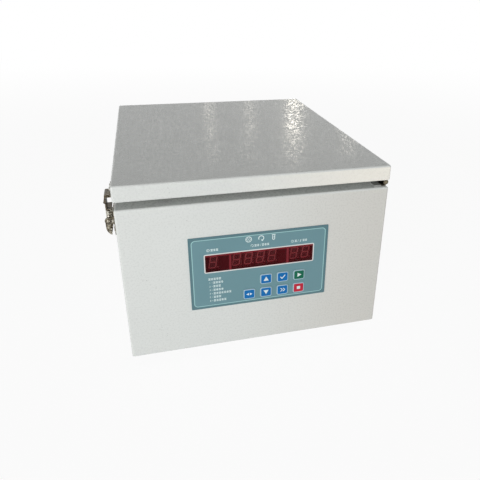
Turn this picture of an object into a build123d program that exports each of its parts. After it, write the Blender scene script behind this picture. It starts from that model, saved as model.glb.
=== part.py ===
from build123d import *
from math import atan2, cos, hypot, pi, radians, sin, sqrt
import os

# Painted sheet-metal case and lid
BODY_WIDTH = 300.0
BODY_DEPTH = 362.0
BODY_HEIGHT = 185.0
GROUND_CLEARANCE = 12.0
LID_GAP = 8.0
LID_HEIGHT = 18.0
LID_OVERHANG = 0.4
SHEET = 1.5
BEND = 2.2
FIT_GAP = 0.3
CASE_FLANGE = 14.0
LID_FLANGE = 18.0
LINER_SHEET = 1.0
REAR_PANEL_MARGIN = 5.0
REAR_SCREW_INSET = 9.8
PANEL_CORNER = 3.0

# Rubber feet
FOOT_RADIUS = 12.0
FOOT_TAPER = 1.5
FOOT_INSET = 31.0
FOOT_RECESS_RADIUS = 5.0
FOOT_RECESS_DEPTH = 6.0

# Screws and rivets
SCREW_RADIUS = 2.0
SCREW_HEAD_RADIUS = 3.8
SCREW_HEAD_HEIGHT = 2.2
SCREW_SLOT_WIDTH = 0.9
SCREW_SLOT_DEPTH = 1.0
SCREW_TAIL = 4.0
RIVET_RADIUS = 1.6
RIVET_HEAD_RADIUS = 2.6
RIVET_HEAD_HEIGHT = 1.0
RIVET_TAIL_RADIUS = 2.3
RIVET_TAIL_HEIGHT = 2.0
SHANK_GAP = 0.05

# Hinge along the right-hand side
HINGE_LENGTH = 352.0
HINGE_BARREL_RADIUS = 3.0
HINGE_PIN_RADIUS = 1.2
HINGE_KNUCKLES = 16
HINGE_PROUD = 1.5
HINGE_LEAF = 1.2
HINGE_LEAF_WIDTH = 11.0
HINGE_AXIAL_GAP = 0.4
HINGE_RIVETS = 8

# Draw latch on the left-hand side
LATCH_SETBACK = 21.0
LATCH_DROP = 14.5
LATCH_REACH = 5.5
LATCH_THROW = 8.6
LATCH_OVER_CENTRE = 1.0
LATCH_PLATE = 1.2
LATCH_CHEEK_GAP = 19.0
LATCH_SIDE_GAP = 0.4
LATCH_EAR_RADIUS = 3.6
LATCH_PIN_RADIUS = 1.5
LATCH_YOKE_RADIUS = 2.5
LATCH_BASE_WIDTH = 26.0
LATCH_BASE_LOW = 17.0
LATCH_BASE_HIGH = 11.0
LEVER_TAIL = 16.5
LEVER_WEB_START = 13.6
LEVER_TAIL_CURL = 5.0
LEVER_CURL_START = 0.78
LEVER_OUT = 9.6
CLAW_WIDTH = 18.0
CLAW_NOSE = 6.0
CLAW_BEAD_RADIUS = 1.3
CLAW_BEAD_BELOW_NOSE = 6.6
CLAW_FOOT_BELOW_NOSE = 14.0
CLAW_ROD_RADIUS = 1.3
CLAW_ROD_SPREAD = 12.0
CATCH_WIDTH = 18.0
CATCH_LEDGE = 5.0
CATCH_LEDGE_ABOVE_LID_EDGE = 2.0
CATCH_HEIGHT = 10.5
SPRING_WIRE_RADIUS = 0.5
SPRING_OUTER_RADIUS = 3.1
SPRING_TURNS = 9

# Control panel on the front
PANEL_WIDTH = 158.9
PANEL_HEIGHT = 91.4
PANEL_CENTRE_ABOVE_BASE = 99.8
OVERLAY = 0.8
OVERLAY_CORNER = 1.0
WINDOW_WIDTH = 124.0
WINDOW_HEIGHT = 21.2
WINDOW_ABOVE_BASE = 112.2
WINDOW_LEDGE = 1.2
DIGIT_WIDTH = 12.6
DIGIT_HEIGHT = 18.4
DIGIT_DEPTH = 8.0
DIGIT_PITCH = 13.6
MODE_DIGIT_X = -52.6
SPEED_DIGITS_X = -5.9
TIME_DIGITS_X = 47.2
KEY_WIDTH = 13.6
KEY_HEIGHT = 12.9
KEY_CORNER = 2.5
KEY_THICKNESS = 1.1
KEY_PROUD = 0.7
KEY_TRAVEL = 0.4
KEY_PITCH_X = 19.8
KEY_PITCH_Z = 17.7
KEY_FIRST_X = -13.0
KEY_LOW_ROW_ABOVE_BASE = 66.3
KEY_STEM_RADIUS = 3.0
KEY_COLLAR_RADIUS = 4.4
KEY_COLLAR = 1.0
KEY_GAP = 0.35
SWITCH_SIDE = 6.0
SWITCH_HEIGHT = 3.4
SWITCH_BUTTON_RADIUS = 1.7
SWITCH_BUTTON_TOP = 5.0
BOARD_SETBACK = 8.3
BOARD_THICKNESS = 1.6
BOARD_MARGIN = 6.0
STANDOFF_RADIUS = 2.6
STANDOFF_INSET = 5.0

# Cooled chamber
FRONT_BAY = 28.0
BOWL_SHEET = 1.0
BOWL_CORNER = 10.0
BOWL_RIM = 7.0
BOWL_HOLE_RADIUS = 13.0
GASKET_WIDTH = 6.0
GASKET_ROUND = 1.5
COIL_TUBE_RADIUS = 2.8
COIL_GAP = 0.6
COIL_TURNS = 5.5
COIL_PITCH = 9.0
COIL_ABOVE_BOWL_FLOOR = 8.0
COIL_TAIL_OUT = 6.1
JACKET_WALL = 27.2
JACKET_SIDE_GAP = 25.0
JACKET_COMPRESSOR_GAP = 9.0
JACKET_FLOOR = 15.0
JACKET_HOLE_RADIUS = 16.0

# Fixed-angle rotor, shaft and motor
ROTOR_BOWL_GAP = 20.0
ROTOR_HEIGHT = 52.0
ROTOR_ABOVE_BOWL_FLOOR = 12.0
ROTOR_RIM_SHARE = 0.7
ROTOR_DISH_SHARE = 0.4
ROTOR_FOOT_SHARE = 0.66
ROTOR_SKIRT = 15.6
ROTOR_DISH_HEIGHT = 31.0
ROTOR_HUB_RADIUS = 14.0
ROTOR_HUB_HEIGHT = 34.0
WELL_COUNT = 12
WELL_SLANT = 45.0
WELL_SHARE = 5.5 / 70
WELL_DEPTH_SHARE = 36 / 70
WELL_MOUTH_SHARE = 38 / 70
WELL_END_ROUND = 0.8
NUT_RADIUS = 11.0
NUT_HEIGHT = 14.0
NUT_FLUTES = 10
NUT_FLUTE_RADIUS = 1.6
SPINDLE_RADIUS = 5.0
SPINDLE_THREAD_RADIUS = 3.0
SPINDLE_THREAD_LENGTH = 9.0
DRIVE_COLLAR_RADIUS = 12.0
DRIVE_COLLAR_HEIGHT = 7.0
SHAFT_RADIUS = 4.0
SHAFT_BELOW_PLATE = 4.0
MOTOR_RADIUS = 40.0
MOTOR_HEIGHT = 50.0
MOTOR_WALL = 2.5
MOTOR_CAP = 3.0
MOTOR_PLATE = 4.0
MOTOR_PLATE_RADIUS = 60.0
BEARING_RADIUS = 11.0
BEARING_WIDTH = 7.0
BEARING_SEAT_WALL = 4.0
STATOR_BORE_RADIUS = 23.5
STATOR_HEIGHT = 27.0
ARMATURE_GAP = 0.5
ARMATURE_HEIGHT = 25.0
DAMPER_RADIUS = 8.0
DAMPER_HEIGHT = 17.5
DAMPER_CIRCLE = 50.0
SEAL_FLANGE_RADIUS = 18.0
SEAL_FLANGE = 2.2
SEAL_BORE_RADIUS = 5.0
SEAL_NECK = 17.5

# Refrigeration circuit in the rear bay
COMPRESSOR_RADIUS = 41.0
COMPRESSOR_HEIGHT = 95.0
COMPRESSOR_ROUND = 16.0
COMPRESSOR_FOOT_RADIUS = 52.0
COMPRESSOR_FOOT = 3.0
COMPRESSOR_SIDE_GAP = 3.6
COMPRESSOR_AHEAD_OF_BACK = 61.0
CONDENSER_SIDE_GAP = 45.0
CONDENSER_BESIDE_COMPRESSOR = 99.4
CONDENSER_DEPTH = 22.0
CONDENSER_HEIGHT = 96.0
CONDENSER_ABOVE_PLATE = 16.0
CONDENSER_AHEAD_OF_BACK = 52.0
CONDENSER_FINS = 30
FIN = 0.5
CONDENSER_END_PLATE = 1.2
CONDENSER_TUBE_RADIUS = 3.0
CONDENSER_PASSES = 7
CONDENSER_PASS_PITCH = 13.0
CONDENSER_STUB = 9.0
PIPE_RADIUS = 2.8
CAPILLARY_RADIUS = 1.2
PIPE_BEND = 9.0
DRIER_RADIUS = 8.0
DRIER_LENGTH = 52.0
FAN_SIDE = 92.0
FAN_DEPTH = 25.0
FAN_DUCT_RADIUS = 43.5
FAN_BLADE_RADIUS = 42.5
FAN_HUB_RADIUS = 18.0
FAN_HUB_DEPTH = 17.0
FAN_BLADES = 7
FAN_BLADE_CHORD = 20.0
FAN_BLADE_THICKNESS = 1.3
FAN_BLADE_PITCH = 38.0
FAN_STRUT_DEPTH = 4.0
FAN_STRUT_WIDTH = 5.0
FAN_HOLE_SPACING = 82.5
FAN_FROM_SIDE = 95.0
FAN_ABOVE_BASE = 72.0
GUARD_WIRE_RADIUS = 1.0
GUARD_RINGS = 5
GUARD_LUG_RADIUS = 3.4

# Mains parts and power electronics
INLET_FROM_SIDE = 38.0
SWITCH_BESIDE_INLET = 34.0
MAINS_BELOW_DECK = 33.0
INLET_WIDTH = 27.0
INLET_HEIGHT = 19.6
INLET_BODY_DEPTH = 18.0
INLET_FLANGE = 2.2
INLET_FLANGE_LIP = 2.2
INLET_SOCKET_WIDTH = 23.6
INLET_SOCKET_HEIGHT = 16.0
INLET_SOCKET_DEPTH = 16.0
INLET_CHAMFER = 4.0
INLET_PIN_LENGTH = 10.5
INLET_PIN_SPACING = 7.0
ROCKER_WIDTH = 10.4
ROCKER_LENGTH = 16.0
ROCKER_SWING = 14.0
ROCKER_PIVOT_RADIUS = 1.5
ROCKER_EDGE_OUT = 3.2
ROCKER_VALLEY_OUT = 1.6
ROCKER_EDGE_IN = 2.0
SWITCH_BODY_WIDTH = 13.4
SWITCH_BODY_LENGTH = 20.4
SWITCH_BODY_DEPTH = 15.0
SWITCH_FLANGE = 1.8
SWITCH_FLANGE_LIP = 1.4
SWITCH_CAVITY_DEPTH = 7.0
POWER_BOARD_SIDE_GAP = 11.0
POWER_BOARD_FROM_MIDDLE = 53.0
POWER_BOARD_DEPTH = 120.0
POWER_BOARD_AHEAD_OF_SHAFT = 69.0
POWER_BOARD_EDGE = 6.5
POWER_BOARD_LIFT = 6.0
MAGNET_RADIUS = 5.0
MAGNET_HEIGHT = 3.0
MAGNET_SETBACK = 13.0
MAGNET_FROM_SIDE = 50.0
SENSOR_WIDTH = 20.0
SENSOR_DEPTH = 12.0
SENSOR_HEIGHT = 6.0

# Rear panel vents
VENT_PITCH = 9.0
VENT_SLOT_HEIGHT = 4.0
VENT_SLOT_WIDTH = 70.0
VENT_FROM_SIDE = 55.0
VENT_FIRST_ABOVE_BASE = 22.0
VENT_BELOW_MAINS = 28.0
BASE_SLOTS = 3
BASE_SLOT_PITCH = 8.0

# Smaller sizes used inside one piece
LINER_LAP = 4.0
ROTOR_EDGE = 2.0
PIN_THICKNESS = 2.0
PIN_WIDTH = 4.0
ROCKER_PIVOT_END = 1.0
TRANSFORMER_SIDE = 30.0
CAPACITORS = 2
CAPACITOR_PITCH = 26.4
CAPACITOR_RADIUS = 11.0
CAPACITOR_HEIGHT = 32.0
HEATSINK_BASE = 3.0
HEATSINK_LENGTH = 80.0
HEATSINK_HEIGHT = 30.0
HEATSINK_FINS = 9
HEATSINK_PITCH = 9.0
HEATSINK_FIN = 12.0

# How far the fittings stand out of the case, which sets the middle of the whole
LATCH_PROUD = LATCH_REACH + HINGE_BARREL_RADIUS + LATCH_PLATE + CLAW_BEAD_RADIUS
REAR_PROUD = SHEET + SCREW_HEAD_HEIGHT + GUARD_WIRE_RADIUS
FRONT_PROUD = OVERLAY + KEY_PROUD

# Main planes, with the origin on the bench under the middle of the whole
MID_X = (LATCH_PROUD - HINGE_PROUD) / 2
LEFT_X = MID_X - BODY_WIDTH / 2
RIGHT_X = MID_X + BODY_WIDTH / 2
FRONT_Y = (FRONT_PROUD - REAR_PROUD - BODY_DEPTH) / 2
BACK_Y = FRONT_Y + BODY_DEPTH
MID_Y = (FRONT_Y + BACK_Y) / 2
BASE_Z = GROUND_CLEARANCE
DECK_Z = BASE_Z + BODY_HEIGHT
LID_Z = DECK_Z + LID_GAP
LID_TOP_Z = LID_Z + LID_HEIGHT
PLATE_Z = BASE_Z + SHEET
PLATE_TOP_Z = PLATE_Z + SHEET
LINER_Z = LID_Z + SHEET
REAR_FACE_Y = BACK_Y + SHEET

# The chamber takes the room that the front bay, the sides and the compressor leave
COMPRESSOR_X = -(BODY_WIDTH / 2 - COMPRESSOR_FOOT_RADIUS - COMPRESSOR_SIDE_GAP)
CHAMBER_ROOM = BODY_DEPTH - FRONT_BAY - COMPRESSOR_AHEAD_OF_BACK
COMPRESSOR_REACH = COMPRESSOR_RADIUS + JACKET_COMPRESSOR_GAP
JACKET_SQUARES = COMPRESSOR_X**2 - COMPRESSOR_REACH**2 + CHAMBER_ROOM**2
JACKET_BY_COMPRESSOR = JACKET_SQUARES / (2 * (COMPRESSOR_REACH + CHAMBER_ROOM))
JACKET_RADIUS = min(BODY_WIDTH / 2 - JACKET_SIDE_GAP, JACKET_BY_COMPRESSOR)
COIL_SPACE = 2 * COIL_GAP + 2 * COIL_TUBE_RADIUS
BOWL_RADIUS = JACKET_RADIUS - JACKET_WALL - COIL_SPACE - BOWL_SHEET
ROTOR_RADIUS = BOWL_RADIUS - ROTOR_BOWL_GAP
WELL_RADIUS = WELL_SHARE * ROTOR_RADIUS
WELL_DEPTH = WELL_DEPTH_SHARE * ROTOR_RADIUS
WELL_MOUTH_RADIUS = WELL_MOUTH_SHARE * ROTOR_RADIUS

# Chamber and drive
AXIS_X = MID_X
AXIS_Y = FRONT_Y + FRONT_BAY + JACKET_RADIUS
MOTOR_PLATE_Z = PLATE_TOP_Z + DAMPER_HEIGHT
MOTOR_Z = MOTOR_PLATE_Z + MOTOR_PLATE
MOTOR_TOP_Z = MOTOR_Z + MOTOR_HEIGHT
BOWL_FLOOR_Z = MOTOR_TOP_Z + SEAL_NECK
BOWL_UNDER_Z = BOWL_FLOOR_Z - BOWL_SHEET
RIM_TOP_Z = DECK_Z + BOWL_SHEET
JACKET_TOP_Z = DECK_Z - SHEET - FIT_GAP
JACKET_FLOOR_TOP_Z = BOWL_UNDER_Z - FIT_GAP
JACKET_BOTTOM_Z = JACKET_FLOOR_TOP_Z - JACKET_FLOOR
COIL_RADIUS = BOWL_RADIUS + BOWL_SHEET + COIL_GAP + COIL_TUBE_RADIUS
JACKET_BORE_RADIUS = COIL_RADIUS + COIL_TUBE_RADIUS + COIL_GAP
COIL_Z = BOWL_FLOOR_Z + COIL_ABOVE_BOWL_FLOOR
COIL_END_Z = COIL_Z + COIL_TURNS * COIL_PITCH
ROTOR_Z = BOWL_FLOOR_Z + ROTOR_ABOVE_BOWL_FLOOR
HUB_TOP_Z = ROTOR_Z + ROTOR_HUB_HEIGHT
COIL_TAIL = sqrt(JACKET_RADIUS**2 - COIL_RADIUS**2) + COIL_TAIL_OUT

# Front panel
PANEL_Z = BASE_Z + PANEL_CENTRE_ABOVE_BASE
OVERLAY_Y = FRONT_Y - OVERLAY
CASE_INSIDE_Y = FRONT_Y + SHEET
BOARD_Y = CASE_INSIDE_Y + BOARD_SETBACK
WINDOW_Z = BASE_Z + WINDOW_ABOVE_BASE
KEY_LOW_Z = BASE_Z + KEY_LOW_ROW_ABOVE_BASE
KEYS = {
    "key_select": (0, 0),
    "key_up": (1, 1),
    "key_down": (1, 0),
    "key_confirm": (2, 1),
    "key_boost": (2, 0),
    "key_start": (3, 1),
    "key_stop": (3, 0),
}

# Hinge and latch
HINGE_X = RIGHT_X + HINGE_PROUD - HINGE_BARREL_RADIUS
HINGE_Z = DECK_Z + LID_GAP / 2
LATCH_Y = FRONT_Y + LATCH_SETBACK
LATCH_PIVOT_X = LEFT_X - LATCH_REACH - LATCH_OVER_CENTRE
LATCH_PIVOT_Z = DECK_Z - LATCH_DROP
YOKE_X = LEFT_X - LATCH_REACH
YOKE_Z = LATCH_PIVOT_Z - LATCH_THROW
LID_LEFT_X = LEFT_X - LID_OVERHANG
LEDGE_Z = LID_Z + CATCH_LEDGE_ABOVE_LID_EDGE
LEDGE_END_X = LID_LEFT_X - LATCH_PLATE - CATCH_LEDGE
CLAW_INNER_X = LEDGE_END_X - FIT_GAP
NOSE_Z = LEDGE_Z + LATCH_PLATE + FIT_GAP
CLAW_FOOT_Z = NOSE_Z - CLAW_FOOT_BELOW_NOSE

# Rear bay
COMPRESSOR_Y = BACK_Y - COMPRESSOR_AHEAD_OF_BACK
COMPRESSOR_PLACE_X = MID_X + COMPRESSOR_X
CONDENSER_LEFT = COMPRESSOR_PLACE_X + CONDENSER_BESIDE_COMPRESSOR
CONDENSER_RIGHT = RIGHT_X - CONDENSER_SIDE_GAP
CONDENSER_WIDTH = CONDENSER_RIGHT - CONDENSER_LEFT
CONDENSER_PLACE_X = (CONDENSER_LEFT + CONDENSER_RIGHT) / 2
CONDENSER_Y = BACK_Y - CONDENSER_AHEAD_OF_BACK
CONDENSER_Z = PLATE_TOP_Z + CONDENSER_ABOVE_PLATE
COMPRESSOR_Z = PLATE_TOP_Z + DAMPER_HEIGHT
COMPRESSOR_TOP_Z = COMPRESSOR_Z + COMPRESSOR_FOOT + COMPRESSOR_HEIGHT
FAN_X = RIGHT_X - FAN_FROM_SIDE
FAN_Z = BASE_Z + FAN_ABOVE_BASE
INLET_X = LEFT_X + INLET_FROM_SIDE
SWITCH_X = INLET_X + SWITCH_BESIDE_INLET
MAINS_Z = DECK_Z - MAINS_BELOW_DECK
VENT_X = LEFT_X + VENT_FROM_SIDE
VENT_ROOM = MAINS_Z - VENT_BELOW_MAINS - BASE_Z - VENT_FIRST_ABOVE_BASE
VENT_SLOTS = int(VENT_ROOM / VENT_PITCH) + 1

# Drive board and lid sensor
POWER_BOARD_LEFT = LEFT_X + POWER_BOARD_SIDE_GAP
POWER_BOARD_RIGHT = MID_X - POWER_BOARD_FROM_MIDDLE
POWER_BOARD_WIDTH = POWER_BOARD_RIGHT - POWER_BOARD_LEFT
MAGNET_X = LEFT_X + MAGNET_FROM_SIDE


def block(x, y, z):
    """A box between two limits on each axis."""
    size = [high - low for low, high in (x, y, z)]
    middle = [(high + low) / 2 for low, high in (x, y, z)]
    return Pos(*middle) * Box(*size)


def around(middle, width):
    """The two limits of a width about its middle."""
    return (middle - width / 2, middle + width / 2)


def upright(x, y, z, height, radius):
    """A cylinder standing on the height z."""
    return Pos(x, y, z + height / 2) * Cylinder(radius, height)


def along_y(x, y, z, length, radius):
    """A cylinder that starts at y and runs to the rear."""
    return Pos(x, y + length / 2, z) * Rot(90, 0, 0) * Cylinder(radius, length)


def along_x(x, y, z, length, radius):
    """A cylinder that starts at x and runs to the right."""
    return Pos(x + length / 2, y, z) * Rot(0, 90, 0) * Cylinder(radius, length)


def turned(points, x, y, z):
    """A solid of revolution about an upright axis, from (radius, height) points."""
    outline = make_face(Polyline(*[(r, 0, h) for r, h in points], close=True))
    return Pos(x, y, z) * revolve(outline, Axis.Z)


def group(solids):
    """Separate solids that share one node."""
    return Compound(children=list(solids))


def corners(middle_x, middle_z, spacing_x, spacing_z):
    """The four corners of a rectangle of holes."""
    return [
        (middle_x + side * spacing_x / 2, middle_z + level * spacing_z / 2)
        for side in (-1, 1)
        for level in (-1, 1)
    ]


def screw(grip):
    """A pan-head screw with its head above z = 0 and its shank below."""
    head = Pos(0, 0, SCREW_HEAD_HEIGHT / 2) * Cylinder(SCREW_HEAD_RADIUS, SCREW_HEAD_HEIGHT)
    head = fillet(head.edges().sort_by(Axis.Z)[-1], SCREW_HEAD_HEIGHT / 2)
    for turn in (0, 90):
        slot = Box(SCREW_HEAD_RADIUS, SCREW_SLOT_WIDTH, 2 * SCREW_SLOT_DEPTH)
        head -= Pos(0, 0, SCREW_HEAD_HEIGHT) * Rot(0, 0, turn) * slot
    length = grip + SCREW_TAIL
    return head + Pos(0, 0, -length / 2) * Cylinder(SCREW_RADIUS - SHANK_GAP, length)


def rivet(grip):
    """A blind rivet with its head above z = 0, its shank and the bulb behind the sheets."""
    head = Pos(0, 0, RIVET_HEAD_HEIGHT / 2) * Cylinder(RIVET_HEAD_RADIUS, RIVET_HEAD_HEIGHT)
    head = fillet(head.edges().sort_by(Axis.Z)[-1], RIVET_HEAD_HEIGHT / 2)
    shank = Pos(0, 0, -grip / 2) * Cylinder(RIVET_RADIUS - SHANK_GAP, grip)
    bulb = Pos(0, 0, -grip - RIVET_TAIL_HEIGHT / 2) * Cylinder(RIVET_TAIL_RADIUS, RIVET_TAIL_HEIGHT)
    return head + shank + bulb


def helix_point(radius, pitch, turn):
    """A point on a rising helix about the upright axis, after some turns."""
    angle = 2 * pi * turn
    return Vector(radius * cos(angle), radius * sin(angle), pitch * turn)


def helix_tangent(radius, pitch, turn):
    """The direction of the helix after some turns."""
    angle = 2 * pi * turn
    return Vector(-radius * sin(angle), radius * cos(angle), pitch / (2 * pi)).normalized()


def biarc(start, leave, end, arrive):
    """Two arcs that join two points smoothly and keep both directions."""
    span = end - start
    both = span.dot(leave + arrive)
    bend = 2 * (1 - leave.dot(arrive))
    reach = (sqrt(both * both + bend * span.dot(span)) - both) / bend
    middle = (start + leave * reach + end - arrive * reach) * 0.5
    first = TangentArc(start, middle, tangent=leave)
    return [first, TangentArc(middle, end, tangent=first % 1)]


def coil(radius, pitch, turns, wire_radius, tail):
    """A wound tube with a straight tail at each end, as one unbroken solid."""
    quarters = round(turns * 4)
    edges = []
    for quarter in range(quarters):
        now, then = quarter / 4, (quarter + 1) / 4
        edges += biarc(
            helix_point(radius, pitch, now),
            helix_tangent(radius, pitch, now),
            helix_point(radius, pitch, then),
            helix_tangent(radius, pitch, then),
        )
    first = helix_point(radius, pitch, 0)
    last = helix_point(radius, pitch, turns)
    enter = helix_tangent(radius, pitch, 0)
    leave = helix_tangent(radius, pitch, turns)
    path = [Line(first - enter * tail, first)] + edges + [Line(last, last + leave * tail)]
    section = Plane(origin=first - enter * tail, z_dir=enter) * Circle(wire_radius)
    return sweep(section, path=Wire(path))


def pipe(points, radius, bend):
    """A round pipe through points, with the same bend at each corner."""
    route = FilletPolyline(*points, radius=bend) if len(points) > 2 else Line(*points)
    start = Vector(*points[0])
    ahead = (Vector(*points[1]) - start).normalized()
    return sweep(Plane(origin=start, z_dir=ahead) * Circle(radius), path=route)

# Places shared by the pieces that meet


def hinge_rivet_places():
    """Where the hinge leaves are riveted, along the right-hand side."""
    x = HINGE_X - HINGE_BARREL_RADIUS - HINGE_AXIAL_GAP - HINGE_LEAF_WIDTH / 2
    pitch = HINGE_LENGTH / HINGE_RIVETS
    first = MID_Y - HINGE_LENGTH / 2 + pitch / 2
    return [(x, first + number * pitch) for number in range(HINGE_RIVETS)]


def latch_rivet_places():
    """Rivets of the latch base: one above the pivot and two below it."""
    low = LATCH_PIVOT_Z - LATCH_BASE_LOW + 2 * RIVET_HEAD_RADIUS
    high = LATCH_PIVOT_Z + LATCH_BASE_HIGH - RIVET_HEAD_RADIUS - LATCH_PLATE
    side = LATCH_BASE_WIDTH / 4
    return [(LATCH_Y, high), (LATCH_Y - side, low), (LATCH_Y + side, low)]


def catch_rivet_places():
    """Rivets of the catch on the lid."""
    height = LEDGE_Z + CATCH_HEIGHT - RIVET_HEAD_RADIUS - LATCH_PLATE / 2
    side = CATCH_WIDTH / 4
    return [(LATCH_Y - side, height), (LATCH_Y + side, height)]


def foot_places():
    """The four feet, set in from the corners."""
    across = BODY_WIDTH / 2 - FOOT_INSET
    along = BODY_DEPTH / 2 - FOOT_INSET
    return [(MID_X + a * across, MID_Y + b * along) for a in (-1, 1) for b in (-1, 1)]


def base_screw_places():
    """Screws that hold the base plate to the turned-in edge of the case."""
    across = BODY_WIDTH / 2 - CASE_FLANGE / 2
    spread = BODY_DEPTH / 2 - FOOT_INSET
    return [(MID_X + a * across, MID_Y + b * spread) for a in (-1, 1) for b in (-1, 0, 1)]


def rear_screw_places():
    """Screws around the edge of the rear panel."""
    across = BODY_WIDTH / 2 - REAR_SCREW_INSET
    high = DECK_Z - REAR_SCREW_INSET
    low = BASE_Z + REAR_SCREW_INSET
    return [(MID_X + a * across, z) for a in (-1, 0, 1) for z in (low, high)]


def fan_screw_places():
    """The corner holes of the fan."""
    return corners(FAN_X, FAN_Z, FAN_HOLE_SPACING, FAN_HOLE_SPACING)


def key_place(name):
    """The middle of a key on the front."""
    column, row = KEYS[name]
    return MID_X + KEY_FIRST_X + column * KEY_PITCH_X, KEY_LOW_Z + row * KEY_PITCH_Z


def standoff_places():
    """Studs behind the front that carry the control board."""
    across = PANEL_WIDTH - 2 * BOARD_MARGIN - 2 * STANDOFF_INSET
    along = PANEL_HEIGHT - 2 * STANDOFF_INSET
    return corners(MID_X, PANEL_Z, across, along)


def digit_places():
    """The middles of the seven display digits: one, then four, then two."""
    speed = [SPEED_DIGITS_X + (number - 1.5) * DIGIT_PITCH for number in range(4)]
    time = [TIME_DIGITS_X + (number - 0.5) * DIGIT_PITCH for number in range(2)]
    return [MID_X + x for x in [MODE_DIGIT_X] + speed + time]


def damper_places(x, y, circle):
    """Three rubber dampers on a circle."""
    angles = [radians(90 + 120 * number) for number in range(3)]
    return [(x + circle * cos(a), y + circle * sin(a)) for a in angles]


def tail_places(length=COIL_TAIL):
    """Points on the two straight ends of the evaporator, which keep the slope of its turns."""
    slope = atan2(COIL_PITCH, 2 * pi * COIL_RADIUS)
    end = AXIS_Y + length * cos(slope)
    drop = length * sin(slope)
    return (
        (AXIS_X - COIL_RADIUS, end, COIL_Z - drop),
        (AXIS_X + COIL_RADIUS, end, COIL_END_Z + drop),
    )


# Case


def case_shell():
    """Folded sheet: front, sides and top deck, with turned-in edges at the base and rear."""
    outer = block((LEFT_X, RIGHT_X), (FRONT_Y, BACK_Y), (BASE_Z, DECK_Z))
    outer = fillet(outer.edges(), BEND)
    inner = block(
        (LEFT_X + SHEET, RIGHT_X - SHEET),
        (FRONT_Y + SHEET, BACK_Y - SHEET),
        (BASE_Z + SHEET, DECK_Z - SHEET),
    )
    shell = outer - fillet(inner.edges(), BEND - SHEET)
    inside_x = around(MID_X, BODY_WIDTH - 2 * CASE_FLANGE)
    inside_y = around(MID_Y, BODY_DEPTH - 2 * CASE_FLANGE)
    inside_z = (BASE_Z + CASE_FLANGE, DECK_Z - CASE_FLANGE)
    shell -= block(inside_x, inside_y, (BASE_Z - SHEET, BASE_Z + 2 * SHEET))
    shell -= block(inside_x, (BACK_Y - 2 * SHEET, BACK_Y + SHEET), inside_z)
    opening = BOWL_RADIUS + BOWL_SHEET + FIT_GAP
    shell -= upright(AXIS_X, AXIS_Y, DECK_Z - 2 * SHEET, 3 * SHEET, opening)
    window_x = around(MID_X, WINDOW_WIDTH - 2 * WINDOW_LEDGE)
    window_z = around(WINDOW_Z, WINDOW_HEIGHT - 2 * WINDOW_LEDGE)
    shell -= block(window_x, (FRONT_Y - SHEET, CASE_INSIDE_Y + SHEET), window_z)
    for name in KEYS:
        x, z = key_place(name)
        shell -= along_y(x, FRONT_Y - SHEET, z, 3 * SHEET, KEY_STEM_RADIUS + KEY_GAP)
    for x, y in hinge_rivet_places():
        shell -= upright(x, y, DECK_Z - 2 * SHEET, 3 * SHEET, RIVET_RADIUS)
    for y, z in latch_rivet_places():
        shell -= along_x(LEFT_X - SHEET, y, z, 3 * SHEET, RIVET_RADIUS)
    for x, y in base_screw_places():
        shell -= upright(x, y, BASE_Z - SHEET, 3 * SHEET, SCREW_RADIUS)
    for x, z in rear_screw_places():
        shell -= along_y(x, BACK_Y - 2 * SHEET, z, 3 * SHEET, SCREW_RADIUS)
    return shell


def rear_panel():
    """Flat plate on the turned-in rear edges, with vents and cut-outs."""
    margin = 2 * REAR_PANEL_MARGIN
    panel = block(
        around(MID_X, BODY_WIDTH - margin),
        (BACK_Y, REAR_FACE_Y),
        around((BASE_Z + DECK_Z) / 2, BODY_HEIGHT - margin),
    )
    panel = fillet(panel.edges().filter_by(Axis.Y), PANEL_CORNER)
    through = (BACK_Y - SHEET, REAR_FACE_Y + SHEET)
    panel -= along_y(FAN_X, through[0], FAN_Z, 3 * SHEET, FAN_DUCT_RADIUS)
    for number in range(VENT_SLOTS):
        z = BASE_Z + VENT_FIRST_ABOVE_BASE + number * VENT_PITCH
        slot = block(around(VENT_X, VENT_SLOT_WIDTH), through, around(z, VENT_SLOT_HEIGHT))
        panel -= fillet(slot.edges().filter_by(Axis.Y), VENT_SLOT_HEIGHT / 2 - SHANK_GAP)
    inlet_x = around(INLET_X, INLET_WIDTH + FIT_GAP)
    panel -= block(inlet_x, through, around(MAINS_Z, INLET_HEIGHT + FIT_GAP))
    switch_x = around(SWITCH_X, SWITCH_BODY_WIDTH + FIT_GAP)
    panel -= block(switch_x, through, around(MAINS_Z, SWITCH_BODY_LENGTH + FIT_GAP))
    for x, z in rear_screw_places() + fan_screw_places():
        panel -= along_y(x, through[0], z, 3 * SHEET, SCREW_RADIUS)
    return panel


def base_plate():
    """Flat plate that lies on the turned-in lower edge and carries everything inside."""
    margin = 2 * (BEND + FIT_GAP)
    plate = block(
        around(MID_X, BODY_WIDTH - margin),
        around(MID_Y, BODY_DEPTH - margin),
        (PLATE_Z, PLATE_TOP_Z),
    )
    plate = fillet(plate.edges().filter_by(Axis.Z), PANEL_CORNER)
    deep = 3 * SHEET
    for x, y in base_screw_places() + foot_places():
        plate -= upright(x, y, PLATE_Z - SHEET, deep, SCREW_RADIUS)
    for number in range(BASE_SLOTS):
        y = CONDENSER_Y + (number - (BASE_SLOTS - 1) / 2) * BASE_SLOT_PITCH
        slot_x = around(CONDENSER_PLACE_X, CONDENSER_WIDTH - margin)
        plate -= block(slot_x, around(y, VENT_SLOT_HEIGHT), (PLATE_Z - SHEET, PLATE_TOP_Z + SHEET))
    return plate


def rubber_foot():
    """A tapered foot with a recess for its screw, under the base plate."""
    height = PLATE_Z
    foot = turned(
        [(0, 0), (FOOT_RADIUS - FOOT_TAPER, 0), (FOOT_RADIUS, height), (0, height)], 0, 0, 0
    )
    foot -= upright(0, 0, 0, FOOT_RECESS_DEPTH, FOOT_RECESS_RADIUS)
    return foot - upright(0, 0, 0, height, SCREW_RADIUS)


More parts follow.
